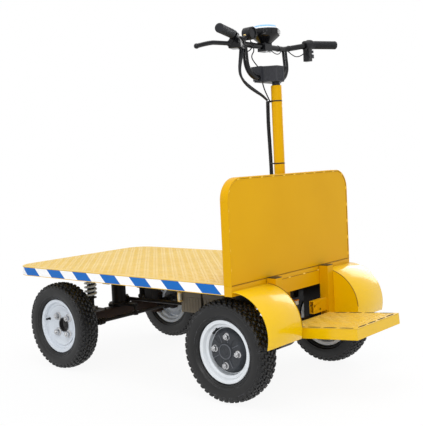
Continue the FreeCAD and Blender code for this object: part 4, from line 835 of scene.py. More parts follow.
# sizes of the dark dashes of painted shadow
shadowDashes = dict(length=0.058, gap=0.010, inset=0.009, width=0.0100, rise=0.0005, ends=0.03)


def guardLine():
    # up one side of the guard, over its rounded corners and down the other side
    x, y, radius = guard["seamX"], guard["seamY"], guard["corner"]
    level = guard["seamTop"] - radius
    foot = deckTop + 0.002
    return ([Vector((x, y, foot))] + arc((x, y - radius, level), radius, 0, 90, 10) +
            arc((x, radius - y, level), radius, 90, 180, 10) + [Vector((x, -y, foot))])


def beads(name, runs):
    # short weld beads: place, heading, and the way out of the plate
    deselect()
    bpy.ops.mesh.primitive_uv_sphere_add(segments=10, ring_count=8, radius=0.5)
    shape()
    bpy.ops.transform.resize(value=(bead["width"], 2 * bead["rise"], bead["length"]))
    source = settle("weld bead", 60)
    places = []
    for spot, heading, outward in runs:
        side = heading.cross(outward).normalized()
        places.append(Matrix.Translation(spot) @ Matrix((side, outward, heading)).transposed().to_4x4())
    return dress(repeated(name, source, places), "chassis", "weld")


def seamAcross(name, x, first, last, z, radius):
    # a straight dark line across the cart: painted shade in the seam
    dress(rail(name, [(x, first, z), (x, last, z)], radius), "chassis", "seam")


# dark lines on the guard, base, apron and fender seams: painted shade in their gaps
def drawSeams():
    line = guardLine()
    dress(rail("guard_seam", line, seam["radius"]), "chassis", "seam")
    beads("guard_beads", [(spot, heading, Vector((-1, 0, 0))) for spot, heading in along(line, guard["every"], 0.05)])
    seamAcross("base_seam", panelX + 0.0004, -deckHalf + 0.004, deckHalf - 0.004, deckTop - 0.004, seam["radius"])
    low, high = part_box("rear_apron")
    edgeX = low.x + 0.001
    seamAcross("apron_seam", edgeX, low.y + 0.002, high.y - 0.002, high.z + 0.0004, seam["apron"])
    outward = Vector((-0.6, 0, 0.8)).normalized()
    beads("apron_beads", [(Vector((edgeX, y, high.z + 0.001)), Vector((0, 1, 0)), outward) for y in
                          (-0.15, -0.05, 0.05, 0.15)])
    low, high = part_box("fender_left")
    centreX = panelX - 0.002
    radius = centreX - low.x
    centreZ, reach = high.z - radius, radius + fender["lift"]
    for sideName, side in (("left", 1), ("right", -1)):
        turns = [math.radians(turn) for turn in range(fender["first"], 181, fender["step"])]
        line = [(centreX + reach * math.cos(turn), side * fender["inner"], centreZ + reach * math.sin(turn))
                for turn in turns]
        dress(rail("fender_seam_" + sideName, line, seam["fender"]), "chassis", "seam")


def platformShadowDashes():
    # dark dashes just inside three edges of the foot platform: painted shadow in the gaps between its plate and frame
    length, inset, ends = shadowDashes["length"], shadowDashes["inset"], shadowDashes["ends"]
    pitch = length + shadowDashes["gap"]
    dash = lozenge("slot", 12, length, shadowDashes["width"], shadowDashes["rise"])
    count, across = int((platformLength - ends) / pitch), int((2 * platformHalf - ends) / pitch)
    places = [at(-ends - length / 2 - k * pitch, side * (platformHalf - inset), 0) for side in (-1, 1)
              for k in range(count)]
    places += [at(-platformLength + inset, (k - (across - 1) / 2) * pitch, 0) @ turned(90) for k in range(across)]
    piece = repeated("platform_slots", dash, places)
    piece.data.transform(platformPlace)
    return dress(faceUp(piece), "chassis", "slot")


drawSeams()
platformShadowDashes()
collar = spun("column_weld", [(columnRadius - 0.001, 0.0062), (columnRadius + 0.0022, 0.0052),
                              (columnRadius + 0.0058, 0.0018), (columnRadius + 0.0068, -0.0005)],
              (columnX, 0, deckTop), steps=48)
apply(collar, "SOLIDIFY", thickness=0.0004, offset=-1)
dress(collar, "chassis", "weld")
print("seams and welds drawn")


# ---- coil springs and their dampers ----

spring = dict(coil=0.0243, wire=0.0054, turns=5.2, sleeve=0.0165)


def coilSpring():
    # a round section screwed up between its two cups, both sides in one piece
    low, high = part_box("shock_springs")
    middleX = (low.x + high.x) / 2
    sideY = high.y - (high.x - low.x) / 2
    rise = high.z - low.z - 2 * spring["wire"]
    turns = []
    for side in (-1, 1):
        deselect()
        bpy.ops.mesh.primitive_circle_add(vertices=10, radius=spring["wire"], rotation=(math.pi / 2, 0, 0))
        shape()
        bpy.ops.transform.translate(value=(spring["coil"], 0, 0))
        coil = settle("coil", 60)
        apply(coil, "SCREW", angle=2 * math.pi * spring["turns"], screw_offset=rise, iterations=1, steps=150,
              render_steps=150, use_merge_vertices=True, use_smooth_shade=True)
        coil.data.transform(at(middleX, side * sideY, low.z + spring["wire"]))
        faceUp(coil)
        pick(coil, lambda co: True)
        bpy.ops.mesh.fill_holes(sides=0)
        settle("coil", 60)
        turns.append(coil)
    outline = [(0, low.z + 0.002), (spring["sleeve"], low.z + 0.002), (spring["sleeve"], high.z - 0.012),
               (spring["sleeve"] - 0.003, high.z - 0.008), (0, high.z - 0.008)]
    sleeves = [spun("sleeve", outline, (middleX, side * sideY, 0), steps=32) for side in (-1, 1)]
    dress(joined("shock_sleeves", *sleeves), "chassis", "gloss")
    return dress(joined("spring_coils", *turns), "chassis", "white", stands=("shock_springs",))


coilSpring()
shockLow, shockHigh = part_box("front_shocks")
shockX = (shockLow.x + shockHigh.x) / 2
shockY = shockHigh.y - (shockHigh.x - shockLow.x) / 2
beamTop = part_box("centre_post")[0].z
eyeOut, eyeUp = 0.0122, 0.012
dress(repeated("shock_bolts", boltHead("nut", 0.011, 0.008),
               [at(shockX + way * eyeOut, side * shockY, shockLow.z + eyeUp, (way, 0, 0)) for way in (-1, 1)
                for side in (-1, 1)]), "chassis", "dullSteel")
dress(repeated("seat_bolts", boltHead("nut", 0.0085, 0.007),
               [at(kingpinX + dx, side * (shockY + dy), beamTop + 0.006) for side in (-1, 1)
                for dx in (-0.036, 0.034) for dy in (-0.048, 0.044)]), "chassis", "dullSteel")
collar = spun("post_ring", [(0.0342, 0.0002), (0.0405, 0.0002), (0.0425, 0.0022), (0.0425, 0.008), (0.0405, 0.0098),
                            (0.0342, 0.0098)], (kingpinX, 0, beamTop + 0.0062), steps=48)
dress(faceUp(collar), "chassis", "steel")
print("springs wound")


# ---- wheels ----

tyre = dict(crown=4.535, groove=0.0062, blocks=46, rows=(0.0075, 0.0225, 0.0365), block=(0.0165, 0.0112),
            lug=(0.0115, 0.0085, 0.0120), lugLean=24, lugPlace=(0.0412, 0.1728))


def crownAt(width):
    return wheelRadius - tyre["crown"] * width ** 2 - 0.0002


def cushion(name, size, bevel):
    # a bevelled block about the origin
    half = Vector(size) / 2
    return slab(name, -half, half, bevel, 1, 30)


def tyreParts():
    # carcass with its sidewall rings, then blocks and shoulder lugs copied round it
    side = [(0.1035, 0.0150), (0.1035, 0.0272), (0.1190, 0.0276), (0.1212, 0.0318), (0.1222, 0.0352),
            (0.1240, 0.0382), (0.1262, 0.0392), (0.1276, 0.0386), (0.1290, 0.0405), (0.1330, 0.0432),
            (0.1336, 0.0442), (0.1352, 0.0443), (0.1360, 0.0436), (0.1420, 0.0456), (0.1500, 0.0466),
            (0.1580, 0.0466), (0.1640, 0.0460), (0.1644, 0.0466), (0.1662, 0.0464), (0.1668, 0.0454),
            (0.1740, 0.0436), (0.1770, 0.0410)]
    top = [(crownAt(w) - tyre["groove"], w) for w in (0.0385, 0.032, 0.024, 0.016, 0.008, 0.0)]
    outer = side + top + [(r, -w) for r, w in reversed(side + top[:-1])]
    inner = [(0.1180, -0.0180), (0.1500, -0.0380), (0.1720, -0.0320), (0.1760, 0.0), (0.1720, 0.0320),
             (0.1500, 0.0380), (0.1180, 0.0180)]
    carcass = spun("tyre carcass", outer + inner + [outer[0]], axis="y", steps=96, smooth=40)
    pieces = [faceUp(carcass)]
    pitch = 2 * math.pi / tyre["blocks"]
    turns = [Matrix.Rotation(pitch * k, 4, "Y") for k in range(tyre["blocks"])]
    for row, width in enumerate(tyre["rows"]):
        low = crownAt(width + 0.004) - tyre["groove"] - 0.0012
        high = crownAt(width)
        for side in (-1, 1):
            block = cushion("tread block", (*tyre["block"], high - low), 0.0022)
            for corner in block.data.vertices:
                if corner.co.z > 0:
                    corner.co.x *= 0.86
                    corner.co.y *= 0.88
                corner.co.x += 0.34 * corner.co.y * (1 if row % 2 else -1)
            lean = Matrix.Rotation(-side * math.atan(2 * tyre["crown"] * width), 4, "X")
            onward = Matrix.Rotation(pitch * (0.5 * (row % 2) + (0.25 if side > 0 else 0)), 4, "Y")
            block.data.transform(onward @ at(0, side * width, (low + high) / 2) @ lean)
            pieces.append(repeated("tread row", block, turns))
    for side in (-1, 1):
        lug = cushion("shoulder lug", tyre["lug"], 0.002)
        out, up = tyre["lugPlace"]
        lug.data.transform(Matrix.Rotation(pitch * 0.5, 4, "Y") @ at(0, side * out, up) @
                           turned(-tyre["lugLean"] * side, "X"))
        pieces.append(repeated("lug row", lug, turns))
    return joined("tyre", *pieces)


def stand(angle, radius, lift):
    # a place on the wheel's outer face; the angle is counted from forwards, upwards
    turn = math.radians(angle)
    return at(radius * math.cos(turn), lift, radius * math.sin(turn), (0, 1, 0))


nuts = dict(frontRadius=0.050, frontTurns=(48, -42, -132, 138), frontScale=(1.22, 1.22, 1.45, 1), rearRadius=0.0545,
            rearTurns=(5, 95, 185, 275), sink=0.0036, pocket=0.0158, pocketDepth=0.0070)
recesses = dict(radius=0.0520, length=0.036, width=0.019, depth=0.0046)
valves = dict(frontPlace=(16, 0.0835, 0.0135), frontHeight=0.020, rearPlace=(60, 0.0905, 0.0080), rearHeight=0.030,
              rearLean=28)
hub = dict(edge=0.0850, face=0.0205)
faceLift = dict(front=0.0020, rear=0.0160)


def wheelNut():
    # a flanged nut with the stud's domed end standing out of it
    drum(6, 0.0112, 0.0105, 0.0062)
    bpy.ops.mesh.bevel(offset=0.0009, segments=1, affect="EDGES")
    hexPart = settle("wheel nut", 20)
    flange = spun("flange", [(0, 0), (0.0150, 0), (0.0150, 0.001), (0.0118, 0.0032), (0, 0.0032)], steps=24)
    stud = spun("stud", [(0, 0.006), (0.0056, 0.006), (0.0056, 0.0138), (0.0046, 0.0152), (0, 0.0154)],
                steps=16)
    return joined("wheel nut", hexPart, flange, stud)


def valve(height):
    # rubber stem and its cap
    return spun("valve", [(0, 0), (0.0062, 0), (0.0058, 0.004), (0.0040, 0.009), (0.0040, height - 0.010),
                          (0.0047, height - 0.009), (0.0047, height - 0.001), (0.0038, height), (0, height)],
                steps=16)


def rimParts(front):
    # rolled flange, stepped bead seat and well as one sheet, and the dished disc pressed inside it
    half = 0.0315
    barrel = [(0.1165, -half + 0.0052), (0.1178, -half + 0.003), (0.1178, -half + 0.001), (0.1168, -half + 0.0002),
              (0.1150, -half), (0.1050, -half + 0.0016), (0.1032, -half + 0.0045), (0.0998, -half + 0.0150),
              (0.0900, -half + 0.0190), (0.0898, half - 0.0190), (0.0996, half - 0.0150), (0.1030, half - 0.0045),
              (0.1050, half - 0.0016), (0.1150, half), (0.1168, half - 0.0002), (0.1178, half - 0.001),
              (0.1178, half - 0.003), (0.1165, half - 0.0052)]
    sheet = spun("rim sheet", barrel, axis="y", steps=72)
    sheet = apply(faceUp(sheet), "SOLIDIFY", thickness=0.0026, offset=-1)
    lift = faceLift["front" if front else "rear"]
    if front:
        disc = [(0.0884, 0.0105), (0.0884, 0.0150), (0.0866, 0.0162), (0.0838, 0.0156), (0.0800, 0.0128),
                (0.0745, 0.0092), (0.0722, 0.0084), (0.0700, 0.0066), (0.0652, lift + 0.0008), (0.0625, lift),
                (0.0400, lift), (0.0372, lift - 0.0014), (0.0312, lift - 0.0014)]
    else:
        disc = [(0.0880, lift - 0.0290), (0.0882, lift - 0.0200), (0.0872, lift - 0.0185), (0.0850, lift - 0.0180),
                (0.0790, lift - 0.0280), (0.0780, lift - 0.0300)]
    plate = spun("rim disc", disc, axis="y", steps=72)
    plate = apply(faceUp(plate), "SOLIDIFY", thickness=0.0034, offset=-1)
    return sheet, plate


def hubCover():
    # black cast hub: a dished cover with four nut pockets, ribs between them and a plain cap, on its brake drum
    face = hub["face"]
    outline = [(0, -0.0336), (0.0935, -0.0336), (0.0960, -0.0312), (0.0960, -0.0225), (0.0940, -0.0205),
               (0.0785, -0.0205), (0.0785, -0.0110), (hub["edge"] - 0.001, -0.0085),
               (hub["edge"], -0.0060), (hub["edge"] - 0.001, -0.0032), (0.0800, 0.0010), (0.0725, face - 0.0052),
               (0.0700, face - 0.0012), (0.0670, face), (0.0340, face), (0, face)]
    cover = spun("hub cover", outline, axis="y", steps=72)
    cutters = []
    for turn in nuts["rearTurns"]:
        drum(24, nuts["pocket"], nuts["pocketDepth"])
        pocket = settle("pocket")
        pocket.data.transform(stand(turn, nuts["rearRadius"], face))
        drum(24, 0.5, recesses["depth"])
        bpy.ops.transform.resize(value=(recesses["length"], recesses["width"], 1))
        bpy.ops.mesh.bevel(offset=0.0008, segments=1, affect="EDGES")
        recess = settle("recess")
        recess.data.transform(stand(turn + 45, recesses["radius"], face) @ turned(turn - 45))
        cutters += [pocket, recess]
    cover = carved(cover, *cutters)
    cap = spun("centre cap", [(0, face - 0.0004), (0.0300, face - 0.0004), (0.0300, face + 0.0030),
                              (0.0288, face + 0.0046), (0.0255, face + 0.0052), (0.0232, face + 0.0040),
                              (0.0222, face + 0.0024), (0.0120, face + 0.0024), (0.0100, face + 0.0044),
                              (0, face + 0.0050)], axis="y", steps=48)
    apply(cover, "BEVEL", width=0.0005, segments=1, limit_method="ANGLE")
    return joined("hub cover", cover, cap)


def hubHighlights():
    # a paler ring on the cap and ribs each side of the nuts: a painted highlight along the hub cover's edges
    face = hub["face"]
    ring = spun("ring", [(0.0250, face + 0.0044), (0.0262, face + 0.0062), (0.0278, face + 0.0060),
                         (0.0292, face + 0.0040)], axis="y", steps=48)
    rib = slab("rib", (-0.0011, 0.0345, -0.0006), (0.0011, 0.0655, 0.0012), 0.0005, 1)
    spots = [stand(0, 0, face) @ turned(turn + side * 22) for turn in nuts["rearTurns"] for side in (-1, 1)]
    return joined("hub trim", faceUp(ring), repeated("ribs", rib, spots))


def axleCap():
    # the dark hub nose inside the front disc, with its lipped dust cap
    return spun("axle cap", [(0.0308, -0.0060), (0.0308, 0.0028), (0.0296, 0.0034), (0.0262, 0.0034),
                             (0.0248, 0.0018), (0.0240, -0.0044), (0.0226, -0.0056), (0.0120, -0.0056),
                             (0.0100, -0.0036), (0, -0.0034), (0, -0.0060), (0.0308, -0.0060)], axis="y", steps=48)


def makeWheels():
    treadPiece = tyreParts()
    for corner, centre in wheels.items():
        front, left = corner.startswith("front"), corner.endswith("left")
        place = Matrix.Translation(centre) @ (Matrix() if left else turned(180))
        end = "front" if front else "rear"

        def placed(piece, name, finish, stands=()):
            piece.data.transform(place)
            return dress(named(piece, name + "_" + corner), "wheel_" + corner, finish, stands)

        placed(twin(treadPiece), "tyre_tread", "tyre", ("tyre_" + corner,))
        placed(joined("rim", *rimParts(front)), "rim_pressing", "silver" if front else "white", ("rim_" + corner,))
        nut = wheelNut()
        if front:
            nut.data.transform(Matrix.Diagonal(nuts["frontScale"]))
        lift = faceLift["front"] + 0.0001 if front else hub["face"] - nuts["sink"]
        spots = [stand(turn, nuts[end + "Radius"], lift) for turn in nuts[end + "Turns"]]
        placed(repeated("nuts", nut, spots), "wheel_nuts", "steel")
        stem = valve(valves[end + "Height"])
        stem.data.transform(stand(*valves[end + "Place"]) @ turned(0 if front else valves["rearLean"], "X"))
        placed(stem, "valve", "rubber")
        if front:
            placed(axleCap(), "axle_cap", "gloss")
        else:
            placed(hubCover(), "hub_cover", "cast", ("hub_" + corner,))
            # the paler ring and ribs are a painted highlight on the hub cover
            placed(hubHighlights(), "hub_trim", "castHighlight")
    bpy.data.objects.remove(treadPiece)


makeWheels()
print("wheels built")


# ---- steering head, lamp and column ties ----

clampLow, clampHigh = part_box("handlebar_clamp")
lampLow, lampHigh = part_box("headlamp_housing")
clampMiddle = (clampLow.z + clampHigh.z) / 2
shell = dict(behind=0.0235, rearHalf=0.0225, frontHalf=0.050, lid=0.0052, lip=0.0010, pitch=0.0052, ribs=7)


def steeringHead():
    # one ribbed shell round the head, widening forwards to the lamp, with a lipped lid
    rear, front, low, high = columnX - shell["behind"], lampLow.x + 0.001, lampLow.z + 0.0004, lampHigh.z - 0.0008
    pieces = []
    for bottom, top, grow in ((low, high, 0.0), (high - shell["lid"], high + 0.0006, shell["lip"])):
        rearHalf, frontHalf = shell["rearHalf"] + grow, shell["frontHalf"] + grow
        box = slab("shell", (rear - grow, -frontHalf, bottom), (front, frontHalf, top), 0.0002, 1)
        pick(box, lambda co: co.x < (rear + front) / 2)
        bpy.ops.transform.resize(value=(1, rearHalf / frontHalf, 1), center_override=(rear, 0, (bottom + top) / 2))
        settle("shell")
        apply(box, "BEVEL", width=0.0060, segments=3, limit_method="ANGLE", angle_limit=math.radians(46))
        pieces.append(faceUp(box))
    rib = slab("rib", (-0.0010, -0.0009, low + 0.004), (0.0010, 0.0009, high - 0.0066), 0.0004, 1)
    places = [at(rear, (k - (shell["ribs"] - 1) / 2) * shell["pitch"], 0) for k in range(shell["ribs"])]
    for side in (-1, 1):
        slope = Vector((front - rear, side * (shell["frontHalf"] - shell["rearHalf"]), 0))
        turn = Matrix.Rotation(math.atan2(slope.y, slope.x) + math.pi / 2, 4, "Z")
        for k in range(1, int(slope.length / shell["pitch"])):
            spot = Vector((rear, side * shell["rearHalf"], 0)) + slope.normalized() * (k * shell["pitch"] + 0.002)
            places.append(Matrix.Translation(spot) @ turn)
    return dress(joined("head_shroud", *pieces, repeated("ribs", rib, places)), "steering", "shell")


lampRibs = dict(sidePitch=0.0052, sides=7, backPitch=0.0046, back=9, backFirst=0.026)
lampFeet = dict(y=0.045, half=0.011, start=0.004, end=0.026)


def lampTrim():
    # ribs down the sides and back of the lamp shell, two feet, and a bezel round the lens
    rib = slab("rib", (-0.0011, -0.0008, lampLow.z + 0.004), (0.0011, 0.0008, lampHigh.z - 0.010), 0.0004, 1)
    places = []
    for side in (-1, 1):
        places += [at(lampLow.x + 0.006 + k * lampRibs["sidePitch"], side * (lampHigh.y - 0.0002), 0)
                   for k in range(lampRibs["sides"])]
        places += [at(lampLow.x + 0.0002, side * (lampRibs["backFirst"] + k * lampRibs["backPitch"]), 0) @ turned(90)
                   for k in range(lampRibs["back"])]
    pieces = [repeated("lamp ribs", rib, places)]
    for side in (-1, 1):
        middle, half = side * lampFeet["y"], lampFeet["half"]
        pieces.append(slab("lamp foot", (lampLow.x + lampFeet["start"], middle - half, lampLow.z - 0.0008),
                           (lampLow.x + lampFeet["end"], middle + half, lampLow.z + 0.0012), 0.0006))
    dress(joined("lamp_ribs", *pieces), "steering", "shell")
    low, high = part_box("headlamp_lens")
    lean = (high.x - 0.001 - (low.x + 0.003)) / (high.z - low.z)
    corners = ((-high.y, low.z), (high.y, low.z), (high.y, high.z), (-high.y, high.z))
    spots = [(low.x + 0.0062 + lean * (z - low.z), y, z) for y, z in corners]
    dress(rail("lamp_bezel", spots, 0.0013, closed=True), "steering", "steel")


ties = dict(levels=(1.104, 0.862), height=0.0048, thickness=0.0012, gap=0.0007, reach=0.0175, shift=0.006,
            start=0.004, ramp=0.018, middle=0.004, spread=0.05)


def columnTies():
    # cable ties round the column, drawn out at the front over its harness
    pieces = []
    for level in ties["levels"]:
        deselect()
        radius = columnRadius + ties["gap"]
        bpy.ops.mesh.primitive_circle_add(vertices=48, radius=radius, location=(columnX, 0, level))
        band = bpy.context.object
        for corner in band.data.vertices:
            if corner.co.x > ties["start"]:
                aside = abs(corner.co.y - ties["middle"]) / ties["spread"]
                corner.co.x += ties["reach"] * min(1, corner.co.x / ties["ramp"]) * (1 - aside)
                corner.co.y += ties["shift"]
        shape()
        bpy.ops.mesh.select_all(action="SELECT")
        bpy.ops.mesh.extrude_region_move(TRANSFORM_OT_translate={"value": (0, 0, ties["height"])})
        band = settle("tie", 50)
        apply(band, "SOLIDIFY", thickness=ties["thickness"], offset=1)
        pieces.append(faceUp(band))
        pieces.append(slab("tie lock", (columnX - 0.0035, -columnRadius - 0.0048, level - 0.0008),
                           (columnX + 0.0035, -columnRadius - 0.0005, level + 0.0056), 0.0006))
    dress(joined("column_ties", *pieces), "chassis", "plastic")


steeringHead()
lampTrim()
columnTies()
bolt = boltHead("clamp bolt", 0.0052, 0.004)
boltLevels = (0.581, 0.761)
columnSpots = [at(columnX - 0.026, side * (columnRadius + 0.012), level, (0, side, 0)) for level in boltLevels
               for side in (-1, 1)]
stemSpots = [at(clampHigh.x, side * 0.013, clampMiddle + rise, (1, 0, 0)) for side in (-1, 1)
             for rise in (0.0095, -0.0095)]
dress(repeated("column_bolts", bolt, columnSpots, keep=True), "chassis", "steel")
dress(repeated("stem_bolts", bolt, stemSpots), "steering", "steel")
print("head, lamp and ties fitted")


# ---- handlebar: grips, lever, switches and pod ----

handle = dict(length=0.120, ribPitch=0.0046, firstRib=0.0062)
barLevel = 1.321
barX = columnX + 0.047
pivot = Vector((columnX + 0.029, 0.237, barLevel - 0.008))


def gripEnd(side):
    # the end of the bar on that side, and the heading back along it
    inner, end = Vector((columnX + 0.003, side * 0.255, 1.343)), Vector((columnX - 0.039, side * 0.375, 1.346))
    return end, (inner - end).normalized()


def grips():
    # ribbed rubber sleeves with an end flange and an inner collar
    pieces = []
    for side in (-1, 1):
        end, back = gripEnd(side)
        outline = [(0, -0.0036), (0.0120, -0.0036), (0.0165, -0.0028), (0.0170, -0.0014), (0.0170, 0.0022),
                   (0.0160, 0.0038)]
        spot = handle["firstRib"]
        while spot < handle["length"] - 0.014:
            outline += [(0.0153, spot), (0.0166, spot + 0.0008), (0.0168, spot + 0.0020), (0.0166, spot + 0.0030),
                        (0.0153, spot + 0.0038)]
            spot += handle["ribPitch"]
        last = handle["length"]
        outline += [(0.0155, last - 0.010), (0.0169, last - 0.008), (0.0169, last - 0.001), (0.0150, last),
                    (0.0114, last)]
        sleeve = spun("grip", outline, steps=40, smooth=30)
        sleeve.data.transform(at(*end, tuple(back)))
        pieces.append(faceUp(sleeve))
    dress(joined("ribbed_grips", *pieces), "steering", "rubber", stands=("handlebar_grips",))
    end, back = gripEnd(-1)
    throttle = spun("throttle", [(0.0114, 0), (0.0188, 0), (0.0200, 0.0015), (0.0200, 0.0215), (0.0188, 0.023),
                                 (0.0114, 0.023)], steps=48)
    notch = slab("notch", (-0.0008, -0.0008, 0.003), (0.0008, 0.0008, 0.020), 0.0003, 1)
    notches = repeated("notches", notch, [turned(20 * k) @ at(0.0200, 0, 0) for k in range(18)])
    throttle = joined("throttle_collar", throttle, notches)
    throttle.data.transform(at(*(end + back * (handle["length"] + 0.0006)), tuple(back)))
    dress(throttle, "steering", "plastic")


def leverAndSwitches():
    # a lever pivot, rocker switches, the rim of the round pod and its button
    bolt = boltHead("pivot bolt", 0.0058, 0.004)
    dress(repeated("lever_bolts", bolt, [at(pivot.x, pivot.y, pivot.z + 0.009)]), "steering", "steel")
    low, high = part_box("switch_block")
    face, middleY = low.x, (low.y + high.y) / 2
    sizes = ((0.0022, 0.0075, 0.010, 0.026, 0.0008), (0.0016, 0.006, 0.031, 0.042, 0.0007))
    rockers = [slab("rocker", (face - rise, middleY - half, low.z + bottom),
                    (face + 0.001, middleY + half, low.z + top), bevel) for rise, half, bottom, top, bevel in sizes]
    dress(joined("switch_rockers", *rockers), "steering", "shell")
    podX, podY, podZ = barX - 0.019, 0.122, barLevel + 0.038
    rimPiece = spun("pod rim", [(0.0185, 0), (0.0225, 0), (0.0240, 0.0015), (0.0240, 0.0030), (0.0225, 0.0042),
                                (0.0190, 0.0042), (0.0180, 0.0020)], steps=48)
    rimPiece.data.transform(at(podX - 0.0170, podY, podZ, (-1, 0, 0)))
    dress(faceUp(rimPiece), "steering", "gloss")
    button = spun("pod_button", [(0, -0.002), (0.0070, -0.002), (0.0070, 0.0020), (0.0058, 0.0032), (0, 0.0036)],
                  steps=32)
    button.data.transform(at(podX + 0.002, podY + 0.0232, podZ - 0.010, (-0.2, 0.95, -0.2)) @ Matrix.Scale(0.8, 4))
    dress(button, "steering", "buff")


def meterTrim():
    # the meter's deep bowl, a white ring on it and the pale dial under its flat dome
    x, top = barX - 0.004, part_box("meter_dial")[1].z
    bowl = spun("meter_bowl", [(0.0235, 1.3330), (0.0500, 1.3545), (0.0560, 1.3600), (0.0578, 1.3630),
                               (0.0578, top - 0.0190), (0.0568, top - 0.0166), (0.0530, top - 0.0142),
                               (0.0470, top - 0.0142), (0.0470, 1.3800), (0.0235, 1.3600)], (x, 0, 0), steps=72,
                smooth=25)
    flat = slab("meter flat", (0.0570, -0.0135, 1.3660), (0.0579, 0.0135, top - 0.0225), 0.0004, 1)
    flats = repeated("flats", flat, [at(x, 0, 0) @ turned(15 + 30 * k) for k in range(12)])
    dress(joined("meter_bowl", faceUp(bowl), flats), "steering", "gloss")
    ring = spun("meter_rim", [(0.0560, top - 0.0162), (0.0556, top - 0.0136), (0.0538, top - 0.0108),
                              (0.0510, top - 0.0098), (0.0484, top - 0.0102), (0.0480, top - 0.0150),
                              (0.0500, top - 0.0162)], (x, 0, 0), steps=72)
    dress(faceUp(ring), "steering", "white")
    dial = spun("dial_dome", [(0, top - 0.0001), (0.0200, top - 0.0002), (0.0340, top - 0.0010),
                              (0.0430, top - 0.0032), (0.0476, top - 0.0066), (0.0484, top - 0.0104),
                              (0.0484, 1.3870), (0, 1.3870)], (x, 0, 0), steps=72)
    dress(faceUp(dial), "steering", "glassBlue", stands=("meter_dial",))
    spots = [at(x - 0.012, y, 1.3024, (0, 0, -1)) for y in (0.012, -0.012)]
    dress(repeated("meter_bolts", boltHead("meter bolt", 0.0048, 0.003), spots), "steering", "steel")


# thin wires, from the bar's middle line, across and up, in millimetres
barWires = dict(
    pod_wire=(0.0022, [(-20, 118, 14), (-26, 112, -6), (-20, 94, -24), (-16, 112, -46), (-10, 86, -66),
                       (-6, 56, -81.5)]),
    lever_wire=(0.0022, [(-5, 170, -11), (3, 150, -18), (-3, 122, -30), (-17, 110, -20), (-14, 98, -8)]),
    meter_wire=(0.0018, [(-14, -14, -10), (-18, -30, -22), (-18, -58, -28), (-15, -84, -18), (-12, -96, -6)]),
    switch_wire=(0.0020, [(-12, -140, -8), (-20, -158, -24), (-25, -186, -30), (-33, -212, -20), (-35, -222, -12)]))
barTies = dict(left=(0.085,), right=(0.085, 0.150))


def leverFittings():
    # the lever's perch with its adjuster, and the blade with its round tip
    perchLow, perchHigh = (columnX - 0.004, 0.186, barLevel - 0.026), (columnX + 0.044, 0.238, barLevel + 0.006)
    perch = slab("perch", perchLow, perchHigh, 0.005, 3)
    perch.data.transform(at(columnX + 0.022, 0.214, barLevel) @ turned(20) @ at(-columnX - 0.022, -0.214, -barLevel))
    adjuster = bar("adjuster", (columnX + 0.031, 0.196, barLevel - 0.008), (columnX + 0.043, 0.168, barLevel - 0.011),
                   0.0062, 20, 0.0008)
    lockRing = bar("lock ring", (columnX + 0.0335, 0.190, barLevel - 0.0086),
                   (columnX + 0.0352, 0.186, barLevel - 0.009), 0.0082, 12, 0.0006)
    dress(joined("lever_perch", perch, adjuster, lockRing), "steering", "gloss")
    spots = [pivot, pivot + Vector((0.013, 0.054, 0)), pivot + Vector((0.014, 0.099, -0.003)),
             Vector((columnX + 0.059, 0.389, barLevel - 0.0255))]
    blade = cable("lever_blade", spots, 0.0082, 12)
    tip = spun("tip", [(0, -0.0100), (0.0060, -0.0082), (0.0096, -0.0036), (0.0100, 0), (0.0096, 0.0036),
                       (0.0060, 0.0082), (0, 0.0100)], tuple(spots[-1]), steps=24)
    dress(joined("lever_blade", blade, tip), "steering", "plastic")


def barFittings():
    # the thin wires and the ties that hold them to the bar
    for name, (radius, spots) in barWires.items():
        points = [Vector((barX + x / 1000, y / 1000, barLevel + z / 1000)) for x, y, z in spots]
        dress(cable(name, points, radius, 8), "steering", "rubber")
    for sideName, distances in barTies.items():
        for y in distances:
            tie = spun("bar_tie_" + str(int(y * 1000)) + "_" + sideName,
                       [(0.0112, -0.0022), (0.0124, -0.0018), (0.0124, 0.0018), (0.0112, 0.0022)], steps=32)
            outer = y > 0.13
            tie.data.transform(at(barX - 0.007 if outer else barX, y if sideName == "left" else -y,
                                  barLevel + 0.0035 if outer else barLevel, (0, 1, 0)))
            dress(faceUp(tie), "steering", "plastic")


grips()
leverAndSwitches()
meterTrim()
leverFittings()
barFittings()
print("handlebar furnished")


# ---- cables ----

# from the front of the column, across and up, in millimetres
cableRoutes = dict(
    upper=[(11, 158, 1298.2), (11, 168, 1265), (15, 176, 1230), (19, 170, 1202), (24, 144, 1178), (27, 110, 1160),
           (24, 72, 1143), (16, 40, 1128), (8, 23, 1111.8)],
    beside=[(23, 158, 1298.6), (25, 163, 1258), (29, 163, 1228), (33, 154, 1204), (37, 128, 1184), (38, 94, 1167),
            (33, 58, 1148), (23, 28, 1130), (15, 13, 1111.7)],
    lead=[(26, 24, 1179.4), (23, 22, 1162), (17, 18, 1142), (10, 15, 1124), (4, 13, 1109.8)],
    harness=[(9, 18, 1108), (11, 17, 1070), (13, 15, 1010), (12, 13, 940), (10, 13, 870), (9, 14, 800), (10, 15, 720),
             (12, 14, 640), (14, 14, 560), (18, 14, 500), (21, 14, 470), (21, 14, 444.5)])


def route(name):
    return [Vector((columnFront + x / 1000, y / 1000, z / 1000)) for x, y, z in cableRoutes[name]]


def linePoints(spots):
    # points along the route's own smooth line
    trial = strand("line", spots, 0, 10)
    mesh = bpy.data.meshes.new_from_object(trial)
    found = [corner.co.copy() for corner in mesh.vertices]
    bpy.data.objects.remove(trial)
    return found


controls = [cable("cable " + name, route(name), radius, 8) for name, radius in
            (("upper", 0.0045), ("beside", 0.0045), ("lead", 0.0025))]
controlCables = joined("control_lines", *controls)
coatWith(controlCables, "rubber")
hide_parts("control_cables")
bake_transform(controlCables)

